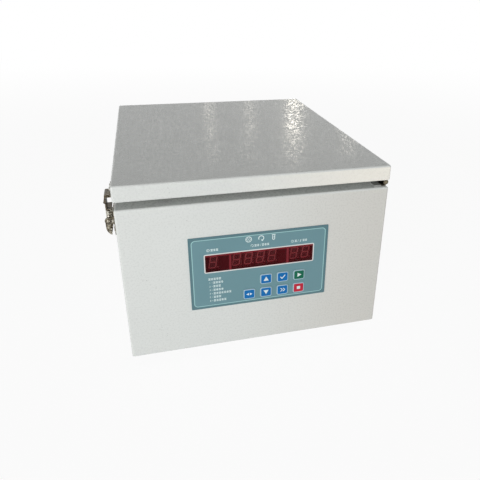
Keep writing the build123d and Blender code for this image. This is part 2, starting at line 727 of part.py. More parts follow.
def case_screws():
    """All the pan-head screws of the case: base, feet, rear panel and fan."""
    screws = []
    for x, y in base_screw_places():
        screws.append(Pos(x, y, BASE_Z) * Rot(180, 0, 0) * screw(2 * SHEET))
    grip = PLATE_TOP_Z - FOOT_RECESS_DEPTH
    for x, y in foot_places():
        screws.append(Pos(x, y, FOOT_RECESS_DEPTH) * Rot(180, 0, 0) * screw(grip))
    for x, z in rear_screw_places():
        screws.append(Pos(x, REAR_FACE_Y, z) * Rot(-90, 0, 0) * screw(2 * SHEET))
    guard_face = REAR_FACE_Y + 2 * GUARD_WIRE_RADIUS
    for x, z in fan_screw_places():
        screws.append(Pos(x, guard_face, z) * Rot(-90, 0, 0) * screw(2 * SHEET + SCREW_TAIL))
    return group(screws)


# Lid


def lid_shell():
    """Folded tray turned upside down, with a turned-in edge all round."""
    x = (LEFT_X - LID_OVERHANG, RIGHT_X + LID_OVERHANG)
    y = (FRONT_Y - LID_OVERHANG, BACK_Y + LID_OVERHANG)
    outer = fillet(block(x, y, (LID_Z, LID_TOP_Z)).edges(), BEND)
    inner = block(
        (x[0] + SHEET, x[1] - SHEET), (y[0] + SHEET, y[1] - SHEET), (LINER_Z, LID_TOP_Z - SHEET)
    )
    shell = outer - fillet(inner.edges(), BEND - SHEET)
    shell -= block(
        (x[0] + LID_FLANGE, x[1] - LID_FLANGE),
        (y[0] + LID_FLANGE, y[1] - LID_FLANGE),
        (LID_Z - SHEET, LINER_Z + SHEET),
    )
    for place_x, place_y in hinge_rivet_places():
        shell -= upright(place_x, place_y, LID_Z - SHEET, 3 * SHEET, RIVET_RADIUS)
    for place_y, place_z in catch_rivet_places():
        shell -= along_x(x[0] - SHEET, place_y, place_z, 3 * SHEET, RIVET_RADIUS)
    return shell


def liner_limits():
    """How far the liner reaches over the turned-in edge of the lid."""
    inset = LID_FLANGE - LINER_LAP
    return (
        around(MID_X, BODY_WIDTH + 2 * LID_OVERHANG - 2 * inset),
        around(MID_Y, BODY_DEPTH + 2 * LID_OVERHANG - 2 * inset),
    )


def lid_liner():
    """Inner sheet that closes the lid from below."""
    x, y = liner_limits()
    liner = block(x, y, (LINER_Z, LINER_Z + LINER_SHEET))
    return fillet(liner.edges().filter_by(Axis.Z), PANEL_CORNER)


def lid_insulation():
    """Foam slab between the liner and the top of the lid."""
    x, y = liner_limits()
    slab = block(x, y, (LINER_Z + LINER_SHEET + FIT_GAP, LID_TOP_Z - SHEET - FIT_GAP))
    return fillet(slab.edges().filter_by(Axis.Z), PANEL_CORNER)


def lid_gasket():
    """Rubber ring under the liner that closes on the rim of the bowl."""
    low = RIM_TOP_Z + FIT_GAP
    inner = BOWL_RADIUS + BOWL_SHEET
    ring = upright(AXIS_X, AXIS_Y, low, LINER_Z - low, inner + GASKET_WIDTH)
    ring -= upright(AXIS_X, AXIS_Y, low, LINER_Z - low, inner)
    return fillet(ring.edges().group_by(Axis.Z)[0], GASKET_ROUND)


def lid_magnet():
    """Magnet under the lid's front edge that works the lid sensor."""
    y = FRONT_Y + MAGNET_SETBACK
    magnet = upright(MAGNET_X, y, LID_Z - MAGNET_HEIGHT, MAGNET_HEIGHT, MAGNET_RADIUS)
    return chamfer(magnet.edges().group_by(Axis.Z)[0], FIT_GAP)


def lid_sensor():
    """Sensor under the deck, below the magnet."""
    return block(
        around(MAGNET_X, SENSOR_WIDTH),
        around(FRONT_Y + MAGNET_SETBACK, SENSOR_DEPTH),
        (DECK_Z - SHEET - SENSOR_HEIGHT, DECK_Z - SHEET),
    )


# Hinge


def hinge_leaf(plate_z, first):
    """One leaf of the long hinge: a plate with every second knuckle."""
    edge = HINGE_X - HINGE_BARREL_RADIUS - HINGE_AXIAL_GAP
    low = MID_Y - HINGE_LENGTH / 2
    leaf = block(
        (edge - HINGE_LEAF_WIDTH, edge), (low, low + HINGE_LENGTH), (plate_z, plate_z + HINGE_LEAF)
    )
    pitch = HINGE_LENGTH / HINGE_KNUCKLES
    for number in range(first, HINGE_KNUCKLES, 2):
        start = low + number * pitch + HINGE_AXIAL_GAP / 2
        length = pitch - HINGE_AXIAL_GAP
        leaf += along_y(HINGE_X, start, HINGE_Z, length, HINGE_BARREL_RADIUS)
        leaf += block(
            (edge - HINGE_LEAF, HINGE_X), (start, start + length), (plate_z, plate_z + HINGE_LEAF)
        )
    bore = HINGE_PIN_RADIUS + SHANK_GAP
    leaf -= along_y(HINGE_X, low - HINGE_LEAF, HINGE_Z, HINGE_LENGTH + 2 * HINGE_LEAF, bore)
    for x, y in hinge_rivet_places():
        leaf -= upright(x, y, plate_z - HINGE_LEAF, 3 * HINGE_LEAF, RIVET_RADIUS)
    return leaf


def hinge_pin():
    """The wire that joins the knuckles."""
    return along_y(HINGE_X, MID_Y - HINGE_LENGTH / 2, HINGE_Z, HINGE_LENGTH, HINGE_PIN_RADIUS)


def case_rivets():
    """Blind rivets in the case: hinge leaf and latch base."""
    rivets = []
    for x, y in hinge_rivet_places():
        rivets.append(Pos(x, y, DECK_Z + HINGE_LEAF) * rivet(HINGE_LEAF + SHEET))
    for y, z in latch_rivet_places():
        face = LEFT_X - LATCH_PLATE
        rivets.append(Pos(face, y, z) * Rot(0, -90, 0) * rivet(LATCH_PLATE + SHEET))
    return group(rivets)


def lid_rivets():
    """Blind rivets in the lid: hinge leaf and catch."""
    rivets = []
    for x, y in hinge_rivet_places():
        rivets.append(Pos(x, y, LID_Z - HINGE_LEAF) * Rot(180, 0, 0) * rivet(HINGE_LEAF + SHEET))
    for y, z in catch_rivet_places():
        face = LID_LEFT_X - LATCH_PLATE
        rivets.append(Pos(face, y, z) * Rot(0, -90, 0) * rivet(LATCH_PLATE + SHEET))
    return group(rivets)

# Draw latch


def latch_side(points, y):
    """A plate in the latch's side view, given as (distance out, height above the pivot)."""
    outline = [(LEFT_X - out, y, LATCH_PIVOT_Z + up) for out, up in points]
    return make_face(Polyline(*outline, close=True))


def both_sides(inner):
    """Where the near and far plates of a pair start, along the depth."""
    return LATCH_Y - inner - LATCH_PLATE, LATCH_Y + inner


def latch_base():
    """Riveted plate with two ears for the lever's pivots."""
    low = LATCH_PIVOT_Z - LATCH_BASE_LOW
    high = LATCH_PIVOT_Z + LATCH_BASE_HIGH
    base = block((LEFT_X - LATCH_PLATE, LEFT_X), around(LATCH_Y, LATCH_BASE_WIDTH), (low, high))
    base = fillet(base.edges().filter_by(Axis.X), 2 * LATCH_PLATE)
    inner = LATCH_CHEEK_GAP / 2 + LATCH_PLATE + LATCH_SIDE_GAP
    for y in both_sides(inner):
        height = around(LATCH_PIVOT_Z, 2 * LATCH_EAR_RADIUS)
        ear = block((LATCH_PIVOT_X, LEFT_X - LATCH_PLATE / 2), (y, y + LATCH_PLATE), height)
        ear += along_y(LATCH_PIVOT_X, y, LATCH_PIVOT_Z, LATCH_PLATE, LATCH_EAR_RADIUS)
        hole = LATCH_PIN_RADIUS + SHANK_GAP
        base += ear
        base -= along_y(LATCH_PIVOT_X, y, LATCH_PIVOT_Z, LATCH_PLATE, hole)
    for y, z in latch_rivet_places():
        base -= along_x(LEFT_X - 2 * LATCH_PLATE, y, z, 3 * LATCH_PLATE, RIVET_RADIUS)
    return base


def latch_pivot_pins():
    """Two short headed pins that carry the lever in the ears."""
    inner = LATCH_CHEEK_GAP / 2
    outer = inner + 2 * LATCH_PLATE + LATCH_SIDE_GAP
    head = LATCH_PLATE / 2
    pins = []
    for side in (-1, 1):
        shank = along_y(LATCH_PIVOT_X, inner, LATCH_PIVOT_Z, outer - inner, LATCH_PIN_RADIUS)
        cap = along_y(LATCH_PIVOT_X, outer, LATCH_PIVOT_Z, head, LATCH_PIN_RADIUS + head)
        pin = Pos(0, LATCH_Y, 0) * (shank + cap)
        pins.append(pin if side > 0 else mirror(pin, Plane.XZ.offset(-LATCH_Y)))
    return group(pins)


def latch_lever():
    """Channel-shaped lever: two cheeks joined by a curled web at the tail."""
    pivot_out = LATCH_REACH + LATCH_OVER_CENTRE
    round_end = LATCH_EAR_RADIUS - LATCH_SIDE_GAP / 2
    near = pivot_out - round_end
    curve_start = (LEVER_OUT, -LEVER_TAIL / 2)
    curve_middle = (LEVER_OUT - LEVER_TAIL_CURL / 4, -LEVER_TAIL * LEVER_CURL_START)
    curve_end = (LEVER_OUT - LEVER_TAIL_CURL, -LEVER_TAIL)

    def place(point):
        return (LEFT_X - point[0], 0, LATCH_PIVOT_Z + point[1])

    sides = [
        Line(place((near, 0)), place((near, -LEVER_TAIL / 2))),
        Line(place((near, -LEVER_TAIL / 2)), place((LEVER_OUT - LEVER_TAIL_CURL, -LEVER_TAIL))),
        ThreePointArc(place(curve_end), place(curve_middle), place(curve_start)),
        Line(place(curve_start), place((pivot_out + round_end, 0))),
        Line(place((pivot_out + round_end, 0)), place((near, 0))),
    ]
    outline = make_face(Wire(sides))
    full = 2 * LATCH_PLATE + LATCH_CHEEK_GAP
    solid = extrude(outline, full, dir=(0, 1, 0))
    hollow = Pos(LATCH_PLATE, LATCH_PLATE, 0) * extrude(outline, LATCH_CHEEK_GAP, dir=(0, 1, 0))
    above = block(
        (LEFT_X - 2 * LEVER_OUT, LEFT_X),
        (LATCH_PLATE, LATCH_PLATE + LATCH_CHEEK_GAP),
        (LATCH_PIVOT_Z - LEVER_WEB_START, LATCH_PIVOT_Z + LEVER_OUT),
    )
    lever = Pos(0, LATCH_Y - full / 2, 0) * (solid - hollow - above)
    for y in both_sides(LATCH_CHEEK_GAP / 2):
        lever += along_y(LATCH_PIVOT_X, y, LATCH_PIVOT_Z, LATCH_PLATE, round_end)
        hole = LATCH_PIN_RADIUS + SHANK_GAP
        lever -= along_y(LATCH_PIVOT_X, y, LATCH_PIVOT_Z, LATCH_PLATE, hole)
        lever -= along_y(YOKE_X, y, YOKE_Z, LATCH_PLATE, hole)
    return lever


def rod_places():
    """The two draw rods, either side of the middle of the latch."""
    return [LATCH_Y - CLAW_ROD_SPREAD / 2, LATCH_Y + CLAW_ROD_SPREAD / 2]


def latch_yoke():
    """Cross bar that turns in the lever and holds the two rods."""
    body = LATCH_CHEEK_GAP - 2 * FIT_GAP
    full = LATCH_CHEEK_GAP + 2 * LATCH_PLATE
    yoke = along_y(YOKE_X, LATCH_Y - body / 2, YOKE_Z, body, LATCH_YOKE_RADIUS)
    yoke += along_y(YOKE_X, LATCH_Y - full / 2, YOKE_Z, full, LATCH_PIN_RADIUS)
    for y in rod_places():
        low = YOKE_Z - 2 * LATCH_YOKE_RADIUS
        yoke -= upright(YOKE_X, y, low, 4 * LATCH_YOKE_RADIUS, CLAW_ROD_RADIUS + SHANK_GAP)
    return yoke


def latch_claw():
    """Hooked plate that lies over the catch, with its two draw rods."""
    width = around(LATCH_Y, CLAW_WIDTH)
    outer_x = CLAW_INNER_X - LATCH_PLATE
    top = NOSE_Z + LATCH_PLATE
    foot_low = CLAW_FOOT_Z - LATCH_PLATE
    claw = block((outer_x, CLAW_INNER_X), width, (foot_low, top))
    claw += block((outer_x, outer_x + CLAW_NOSE), width, (NOSE_Z, top))
    claw += block((outer_x, outer_x + CLAW_NOSE), width, (foot_low, CLAW_FOOT_Z))
    folds = claw.edges().filter_by(Axis.Y).group_by(Axis.X)[0]
    claw = fillet(folds, LATCH_PLATE)
    bead_z = NOSE_Z - CLAW_BEAD_BELOW_NOSE
    claw += along_y(outer_x, width[0], bead_z, CLAW_WIDTH, CLAW_BEAD_RADIUS)
    rod_low = YOKE_Z - LATCH_YOKE_RADIUS - LATCH_PLATE
    for y in rod_places():
        claw += upright(YOKE_X, y, rod_low, foot_low - rod_low + FIT_GAP, CLAW_ROD_RADIUS)
    return claw


def latch_springs():
    """Two wound springs around the draw rods."""
    low = YOKE_Z + LATCH_YOKE_RADIUS + FIT_GAP + SPRING_WIRE_RADIUS
    high = CLAW_FOOT_Z - LATCH_PLATE - FIT_GAP - SPRING_WIRE_RADIUS
    pitch = (high - low) / SPRING_TURNS
    mean_radius = SPRING_OUTER_RADIUS - SPRING_WIRE_RADIUS
    spring = coil(mean_radius, pitch, SPRING_TURNS, SPRING_WIRE_RADIUS, 2 * SPRING_WIRE_RADIUS)
    print("spring: least gap to itself", round(pitch - 2 * SPRING_WIRE_RADIUS, 2), "mm")
    return group(Pos(YOKE_X, y, low) * spring for y in rod_places())


def latch_catch():
    """Riveted plate on the lid with the ledge that the claw pulls on."""
    width = around(LATCH_Y, CATCH_WIDTH)
    plate_x = (LID_LEFT_X - LATCH_PLATE, LID_LEFT_X)
    catch = block(plate_x, width, (LEDGE_Z, LEDGE_Z + CATCH_HEIGHT))
    catch += block((LEDGE_END_X, LID_LEFT_X), width, (LEDGE_Z, LEDGE_Z + LATCH_PLATE))
    for y, z in catch_rivet_places():
        catch -= along_x(LID_LEFT_X - 2 * LATCH_PLATE, y, z, 3 * LATCH_PLATE, RIVET_RADIUS)
    return catch


# Control panel


def keypad_overlay():
    """Plastic front sheet with a window and a hole for each key."""
    sheet = block(around(MID_X, PANEL_WIDTH), (OVERLAY_Y, FRONT_Y), around(PANEL_Z, PANEL_HEIGHT))
    sheet = fillet(sheet.edges().filter_by(Axis.Y), OVERLAY_CORNER)
    through = (OVERLAY_Y - OVERLAY, FRONT_Y + OVERLAY)
    width = WINDOW_WIDTH + 2 * SHANK_GAP
    height = WINDOW_HEIGHT + 2 * SHANK_GAP
    sheet -= block(around(MID_X, width), through, around(WINDOW_Z, height))
    for name in KEYS:
        x, z = key_place(name)
        sheet -= key_block(x, z, KEY_GAP, through)
    return sheet


def key_block(x, z, gap, y):
    """The rounded outline of a key, grown by a gap."""
    body = block(around(x, KEY_WIDTH + 2 * gap), y, around(z, KEY_HEIGHT + 2 * gap))
    return fillet(body.edges().filter_by(Axis.Y), KEY_CORNER + gap)


def key(name):
    """A raised key cap with its stem and the collar that keeps it in."""
    x, z = key_place(name)
    front = OVERLAY_Y - KEY_PROUD
    cap = key_block(x, z, 0, (front, front + KEY_THICKNESS))
    cap = fillet(cap.faces().sort_by(Axis.Y)[0].edges(), KEY_TRAVEL)
    tip = BOARD_Y - SWITCH_BUTTON_TOP - KEY_TRAVEL - SHANK_GAP
    stem = along_y(x, front + KEY_THICKNESS, z, tip - front - KEY_THICKNESS, KEY_STEM_RADIUS)
    collar = along_y(x, CASE_INSIDE_Y + KEY_GAP, z, KEY_COLLAR, KEY_COLLAR_RADIUS)
    return cap + stem + collar


def display_window():
    """Dark red filter in front of the digits."""
    pane = block(around(MID_X, WINDOW_WIDTH), (OVERLAY_Y, FRONT_Y), around(WINDOW_Z, WINDOW_HEIGHT))
    return fillet(pane.edges().filter_by(Axis.Y), OVERLAY / 2)


def control_board():
    """Circuit board behind the front."""
    width = around(MID_X, PANEL_WIDTH - 2 * BOARD_MARGIN)
    return block(width, (BOARD_Y, BOARD_Y + BOARD_THICKNESS), around(PANEL_Z, PANEL_HEIGHT))


def led_digits():
    """Seven seven-segment modules on the board."""
    height = around(WINDOW_Z, DIGIT_HEIGHT)
    depth = (BOARD_Y - DIGIT_DEPTH, BOARD_Y)
    return group(block(around(x, DIGIT_WIDTH), depth, height) for x in digit_places())


def key_switches():
    """A short-travel switch on the board behind each key."""
    switches = []
    for name in KEYS:
        x, z = key_place(name)
        body = block(
            around(x, SWITCH_SIDE), (BOARD_Y - SWITCH_HEIGHT, BOARD_Y), around(z, SWITCH_SIDE)
        )
        start = BOARD_Y - SWITCH_BUTTON_TOP
        button = along_y(x, start, z, SWITCH_BUTTON_TOP - SWITCH_HEIGHT, SWITCH_BUTTON_RADIUS)
        switches.append(body + button)
    return group(switches)


def board_standoffs():
    """Studs between the front and the board."""
    length = BOARD_SETBACK
    studs = [along_y(x, CASE_INSIDE_Y, z, length, STANDOFF_RADIUS) for x, z in standoff_places()]
    return group(studs)

# Cooled chamber


def bowl():
    """Thin stainless bowl with a rim that lies on the deck."""
    outer_radius = BOWL_RADIUS + BOWL_SHEET
    outer = upright(AXIS_X, AXIS_Y, BOWL_UNDER_Z, RIM_TOP_Z - BOWL_UNDER_Z, outer_radius)
    outer = fillet(outer.edges().group_by(Axis.Z)[0], BOWL_CORNER + BOWL_SHEET)
    outer += upright(AXIS_X, AXIS_Y, DECK_Z, BOWL_SHEET, outer_radius + BOWL_RIM)
    inner = upright(AXIS_X, AXIS_Y, BOWL_FLOOR_Z, RIM_TOP_Z + BOWL_SHEET - BOWL_FLOOR_Z, BOWL_RADIUS)
    inner = fillet(inner.edges().group_by(Axis.Z)[0], BOWL_CORNER)
    hole = upright(AXIS_X, AXIS_Y, BOWL_UNDER_Z - BOWL_SHEET, 3 * BOWL_SHEET, BOWL_HOLE_RADIUS)
    return outer - inner - hole


def evaporator_coil():
    """Tube wound around the bowl, with both ends led out to the rear."""
    tube = coil(COIL_RADIUS, COIL_PITCH, COIL_TURNS, COIL_TUBE_RADIUS, COIL_TAIL)
    print("evaporator: least gap to itself", round(COIL_PITCH - 2 * COIL_TUBE_RADIUS, 2), "mm")
    return Pos(AXIS_X, AXIS_Y, COIL_Z) * Rot(0, 0, 180) * tube


def insulation_jacket():
    """Foam cup around the bowl and its coil."""
    height = JACKET_TOP_Z - JACKET_BOTTOM_Z
    jacket = upright(AXIS_X, AXIS_Y, JACKET_BOTTOM_Z, height, JACKET_RADIUS)
    jacket -= upright(AXIS_X, AXIS_Y, JACKET_FLOOR_TOP_Z, height, JACKET_BORE_RADIUS)
    jacket -= upright(AXIS_X, AXIS_Y, JACKET_BOTTOM_Z, height, JACKET_HOLE_RADIUS)
    for start, end in zip(tail_places(0), tail_places()):
        middle = (start[2] + end[2]) / 2
        hole = COIL_TUBE_RADIUS + COIL_GAP + abs(end[2] - start[2]) / 2
        jacket -= along_y(start[0], AXIS_Y, middle, 2 * COIL_TAIL, hole)
    return jacket


def shaft_seal():
    """Rubber neck seal in the hole of the bowl."""
    neck = BOWL_HOLE_RADIUS - FIT_GAP
    low = MOTOR_TOP_Z + FIT_GAP
    seal = upright(AXIS_X, AXIS_Y, low, BOWL_FLOOR_Z - low, neck)
    seal += upright(AXIS_X, AXIS_Y, BOWL_FLOOR_Z, SEAL_FLANGE, SEAL_FLANGE_RADIUS)
    return seal - upright(AXIS_X, AXIS_Y, low, BOWL_FLOOR_Z, SEAL_BORE_RADIUS)


# Rotor, shaft and motor


def rotor():
    """Fixed-angle rotor with slanted wells."""
    rim = ROTOR_RIM_SHARE * ROTOR_RADIUS
    dish = ROTOR_DISH_SHARE * ROTOR_RADIUS
    body = turned(
        [
            (0, 0),
            (ROTOR_FOOT_SHARE * ROTOR_RADIUS, 0),
            (ROTOR_RADIUS, ROTOR_SKIRT),
            (ROTOR_RADIUS, 2 * ROTOR_SKIRT - ROTOR_EDGE),
            (rim + ROTOR_EDGE, ROTOR_HEIGHT),
            (rim, ROTOR_HEIGHT),
            (dish, ROTOR_DISH_HEIGHT),
            (ROTOR_HUB_RADIUS, ROTOR_DISH_HEIGHT),
            (ROTOR_HUB_RADIUS, ROTOR_HUB_HEIGHT),
            (0, ROTOR_HUB_HEIGHT),
        ],
        AXIS_X,
        AXIS_Y,
        ROTOR_Z,
    )
    mouth = ROTOR_DISH_HEIGHT + WELL_MOUTH_RADIUS - dish
    well = Cylinder(WELL_RADIUS, 2 * WELL_DEPTH)
    well = fillet(well.edges().group_by(Axis.Z)[0], WELL_RADIUS * WELL_END_ROUND)
    for number in range(WELL_COUNT):
        turn = 360 * number / WELL_COUNT
        place = Pos(AXIS_X, AXIS_Y, ROTOR_Z) * Rot(0, 0, turn) * Pos(WELL_MOUTH_RADIUS, 0, mouth)
        body -= place * Rot(0, -WELL_SLANT, 0) * well
    return body - upright(AXIS_X, AXIS_Y, ROTOR_Z, ROTOR_HEIGHT, SPINDLE_RADIUS + SHANK_GAP)


def rotor_nut():
    """Fluted nut that holds the rotor on the spindle."""
    nut = upright(AXIS_X, AXIS_Y, HUB_TOP_Z, NUT_HEIGHT, NUT_RADIUS)
    nut = fillet(nut.edges().group_by(Axis.Z)[-1], NUT_FLUTE_RADIUS)
    for number in range(NUT_FLUTES):
        angle = 2 * pi * number / NUT_FLUTES
        x = AXIS_X + (NUT_RADIUS + NUT_FLUTE_RADIUS / 2) * cos(angle)
        y = AXIS_Y + (NUT_RADIUS + NUT_FLUTE_RADIUS / 2) * sin(angle)
        nut -= upright(x, y, HUB_TOP_Z, NUT_HEIGHT, NUT_FLUTE_RADIUS)
    thread = SPINDLE_THREAD_RADIUS + SHANK_GAP
    return nut - upright(AXIS_X, AXIS_Y, HUB_TOP_Z, SPINDLE_THREAD_LENGTH + FIT_GAP, thread)


def motor_shaft():
    """Shaft with the collar that the rotor sits on and the thread for its nut."""
    low = MOTOR_PLATE_Z - SHAFT_BELOW_PLATE
    collar_z = ROTOR_Z - DRIVE_COLLAR_HEIGHT
    shaft = upright(AXIS_X, AXIS_Y, low, ROTOR_Z - low, SHAFT_RADIUS)
    shaft += upright(AXIS_X, AXIS_Y, collar_z, DRIVE_COLLAR_HEIGHT, DRIVE_COLLAR_RADIUS)
    shaft += upright(AXIS_X, AXIS_Y, ROTOR_Z, HUB_TOP_Z - ROTOR_Z, SPINDLE_RADIUS)
    return shaft + upright(
        AXIS_X, AXIS_Y, HUB_TOP_Z, SPINDLE_THREAD_LENGTH, SPINDLE_THREAD_RADIUS
    )


def motor_housing():
    """Can with a bearing seat under its closed top."""
    seat_radius = BEARING_RADIUS + BEARING_SEAT_WALL
    can = upright(AXIS_X, AXIS_Y, MOTOR_Z, MOTOR_HEIGHT, MOTOR_RADIUS)
    can = fillet(can.edges().group_by(Axis.Z)[-1], MOTOR_WALL)
    can -= upright(AXIS_X, AXIS_Y, MOTOR_Z, MOTOR_HEIGHT - MOTOR_CAP, MOTOR_RADIUS - MOTOR_WALL)
    seat_z = MOTOR_TOP_Z - MOTOR_CAP - BEARING_WIDTH
    can += upright(AXIS_X, AXIS_Y, seat_z, BEARING_WIDTH, seat_radius)
    can -= upright(AXIS_X, AXIS_Y, seat_z, BEARING_WIDTH, BEARING_RADIUS + SHANK_GAP)
    return can - upright(AXIS_X, AXIS_Y, MOTOR_Z, MOTOR_HEIGHT, SHAFT_RADIUS + FIT_GAP)


def motor_mount_plate():
    """Plate on the dampers, with the lower bearing's seat."""
    plate = upright(AXIS_X, AXIS_Y, MOTOR_PLATE_Z, MOTOR_PLATE, MOTOR_PLATE_RADIUS)
    seat_radius = BEARING_RADIUS + BEARING_SEAT_WALL
    plate += upright(AXIS_X, AXIS_Y, MOTOR_Z, BEARING_WIDTH, seat_radius)
    plate -= upright(AXIS_X, AXIS_Y, MOTOR_Z, BEARING_WIDTH, BEARING_RADIUS + SHANK_GAP)
    return plate - upright(AXIS_X, AXIS_Y, MOTOR_PLATE_Z, MOTOR_PLATE, SHAFT_RADIUS + FIT_GAP)


def motor_bearings():
    """Ball bearings above and below the armature, drawn as plain rings."""
    rings = []
    for z in (MOTOR_Z, MOTOR_TOP_Z - MOTOR_CAP - BEARING_WIDTH):
        ring = upright(AXIS_X, AXIS_Y, z, BEARING_WIDTH, BEARING_RADIUS)
        rings.append(ring - upright(AXIS_X, AXIS_Y, z, BEARING_WIDTH, SHAFT_RADIUS + SHANK_GAP))
    return group(rings)


def motor_stator():
    """Laminated ring with its windings, drawn as a plain ring."""
    z = MOTOR_Z + (MOTOR_HEIGHT - MOTOR_CAP - STATOR_HEIGHT) / 2
    ring = upright(AXIS_X, AXIS_Y, z, STATOR_HEIGHT, MOTOR_RADIUS - MOTOR_WALL - FIT_GAP)
    return ring - upright(AXIS_X, AXIS_Y, z, STATOR_HEIGHT, STATOR_BORE_RADIUS)


def motor_armature():
    """Magnet drum fixed on the shaft."""
    z = MOTOR_Z + (MOTOR_HEIGHT - MOTOR_CAP - ARMATURE_HEIGHT) / 2
    drum = upright(AXIS_X, AXIS_Y, z, ARMATURE_HEIGHT, STATOR_BORE_RADIUS - ARMATURE_GAP)
    return drum - upright(AXIS_X, AXIS_Y, z, ARMATURE_HEIGHT, SHAFT_RADIUS + SHANK_GAP)


def rubber_dampers():
    """Rubber blocks under the motor plate and under the compressor."""
    places = damper_places(AXIS_X, AXIS_Y, DAMPER_CIRCLE)
    places += damper_places(COMPRESSOR_PLACE_X, COMPRESSOR_Y, DAMPER_CIRCLE - DAMPER_RADIUS)
    return group(upright(x, y, PLATE_TOP_Z, DAMPER_HEIGHT, DAMPER_RADIUS) for x, y in places)


# Refrigeration circuit


def compressor():
    """Welded compressor can with its foot ring."""
    x, y = COMPRESSOR_PLACE_X, COMPRESSOR_Y
    can_z = COMPRESSOR_Z + COMPRESSOR_FOOT
    can = upright(x, y, can_z, COMPRESSOR_HEIGHT, COMPRESSOR_RADIUS)
    can = fillet(can.edges().group_by(Axis.Z)[-1], COMPRESSOR_ROUND)
    foot = upright(x, y, COMPRESSOR_Z, COMPRESSOR_FOOT, COMPRESSOR_FOOT_RADIUS)
    return can + foot


def condenser_passes():
    """Heights of the straight passes of the condenser tube."""
    middle = CONDENSER_Z + CONDENSER_HEIGHT / 2
    half = (CONDENSER_PASSES - 1) / 2
    return [middle + (number - half) * CONDENSER_PASS_PITCH for number in range(CONDENSER_PASSES)]


def condenser_fins():
    """Thin plates on the condenser tube, with a thicker plate at each end that stands on the base."""
    depth = around(CONDENSER_Y, CONDENSER_DEPTH)
    high = CONDENSER_Z + CONDENSER_HEIGHT
    left, right = around(CONDENSER_PLACE_X, CONDENSER_WIDTH)
    pitch = CONDENSER_WIDTH / (CONDENSER_FINS + 1)
    plates = [
        block((left, left + CONDENSER_END_PLATE), depth, (PLATE_TOP_Z, high)),
        block((right - CONDENSER_END_PLATE, right), depth, (PLATE_TOP_Z, high)),
    ]
    for number in range(CONDENSER_FINS):
        x = left + (number + 1) * pitch
        plates.append(block(around(x, FIN), depth, (CONDENSER_Z, high)))
    hole = CONDENSER_TUBE_RADIUS + SHANK_GAP
    for z in condenser_passes():
        drill = along_x(left - FIN, CONDENSER_Y, z, CONDENSER_WIDTH + 2 * FIN, hole)
        plates = [plate - drill for plate in plates]
    return group(plates)


def condenser_ends():
    """The two open ends of the condenser tube: top left and bottom right."""
    passes = condenser_passes()
    left, right = around(CONDENSER_PLACE_X, CONDENSER_WIDTH)
    top = (left - CONDENSER_STUB, CONDENSER_Y, passes[-1])
    return top, (right + CONDENSER_STUB, CONDENSER_Y, passes[0])


def condenser_tube():
    """One tube that runs to and fro through the fins."""
    left, right = around(CONDENSER_PLACE_X, CONDENSER_WIDTH)
    inlet, outlet = condenser_ends()
    turn_left, turn_right = left - FIN, right + FIN
    heights = list(reversed(condenser_passes()))
    bend = CONDENSER_PASS_PITCH / 2
    edges = []
    here = Vector(*inlet)
    for number, z in enumerate(heights):
        rightward = number % 2 == 0
        last = number == len(heights) - 1
        end_x = turn_right if rightward else turn_left
        end = Vector(*outlet) if last else Vector(end_x, CONDENSER_Y, z)
        edges.append(Line(here, end))
        if not last:
            side = bend if rightward else -bend
            middle = Vector(end_x + side, CONDENSER_Y, z - bend)
            here = Vector(end_x, CONDENSER_Y, heights[number + 1])
            edges.append(ThreePointArc(end, middle, here))
    section = Plane(origin=Vector(*inlet), z_dir=(1, 0, 0)) * Circle(CONDENSER_TUBE_RADIUS)
    return sweep(section, path=Wire(edges))


def refrigerant_lines():
    """Discharge pipe, filter drier with its inlet pipe, capillary and suction pipe."""
    inlet, outlet = condenser_ends()
    liquid_tail, suction_tail = tail_places()[1], tail_places()[0]
    over = COMPRESSOR_TOP_Z + 2 * PIPE_BEND
    discharge = pipe(
        [
            (COMPRESSOR_PLACE_X + PIPE_BEND, COMPRESSOR_Y, COMPRESSOR_TOP_Z + SHANK_GAP),
            (COMPRESSOR_PLACE_X + PIPE_BEND, COMPRESSOR_Y, over),
            (inlet[0] - 3 * PIPE_BEND, CONDENSER_Y, over),
            (inlet[0] - 3 * PIPE_BEND, CONDENSER_Y, inlet[2]),
            (inlet[0] - SHANK_GAP, CONDENSER_Y, inlet[2]),
        ],
        PIPE_RADIUS,
        PIPE_BEND,
    )
    drier_x = outlet[0] + 2 * PIPE_BEND
    drier_z = outlet[2] + 2 * PIPE_BEND
    liquid = pipe(
        [
            (outlet[0] + SHANK_GAP, CONDENSER_Y, outlet[2]),
            (drier_x, CONDENSER_Y, outlet[2]),
            (drier_x, CONDENSER_Y, drier_z),
        ],
        PIPE_RADIUS,
        PIPE_BEND,
    )
    drier = upright(drier_x, CONDENSER_Y, drier_z, DRIER_LENGTH, DRIER_RADIUS)
    drier = fillet(drier.edges(), DRIER_RADIUS / 2)
    capillary = pipe(
        [
            (drier_x, CONDENSER_Y, drier_z + DRIER_LENGTH),
            (drier_x, CONDENSER_Y, liquid_tail[2]),
            (liquid_tail[0], CONDENSER_Y - PIPE_BEND, liquid_tail[2]),
            (liquid_tail[0], liquid_tail[1] + SHANK_GAP, liquid_tail[2]),
        ],
        CAPILLARY_RADIUS,
        PIPE_BEND,
    )
    aside = max(0, abs(suction_tail[0] - COMPRESSOR_PLACE_X) - PIPE_RADIUS)
    wall_y = COMPRESSOR_Y - sqrt(COMPRESSOR_RADIUS**2 - aside**2)
    gap = wall_y - suction_tail[1] - 2 * SHANK_GAP
    suction = along_y(suction_tail[0], suction_tail[1] + SHANK_GAP, suction_tail[2], gap, PIPE_RADIUS)
    return group([discharge, liquid + drier + capillary, suction])


# Cooling fan


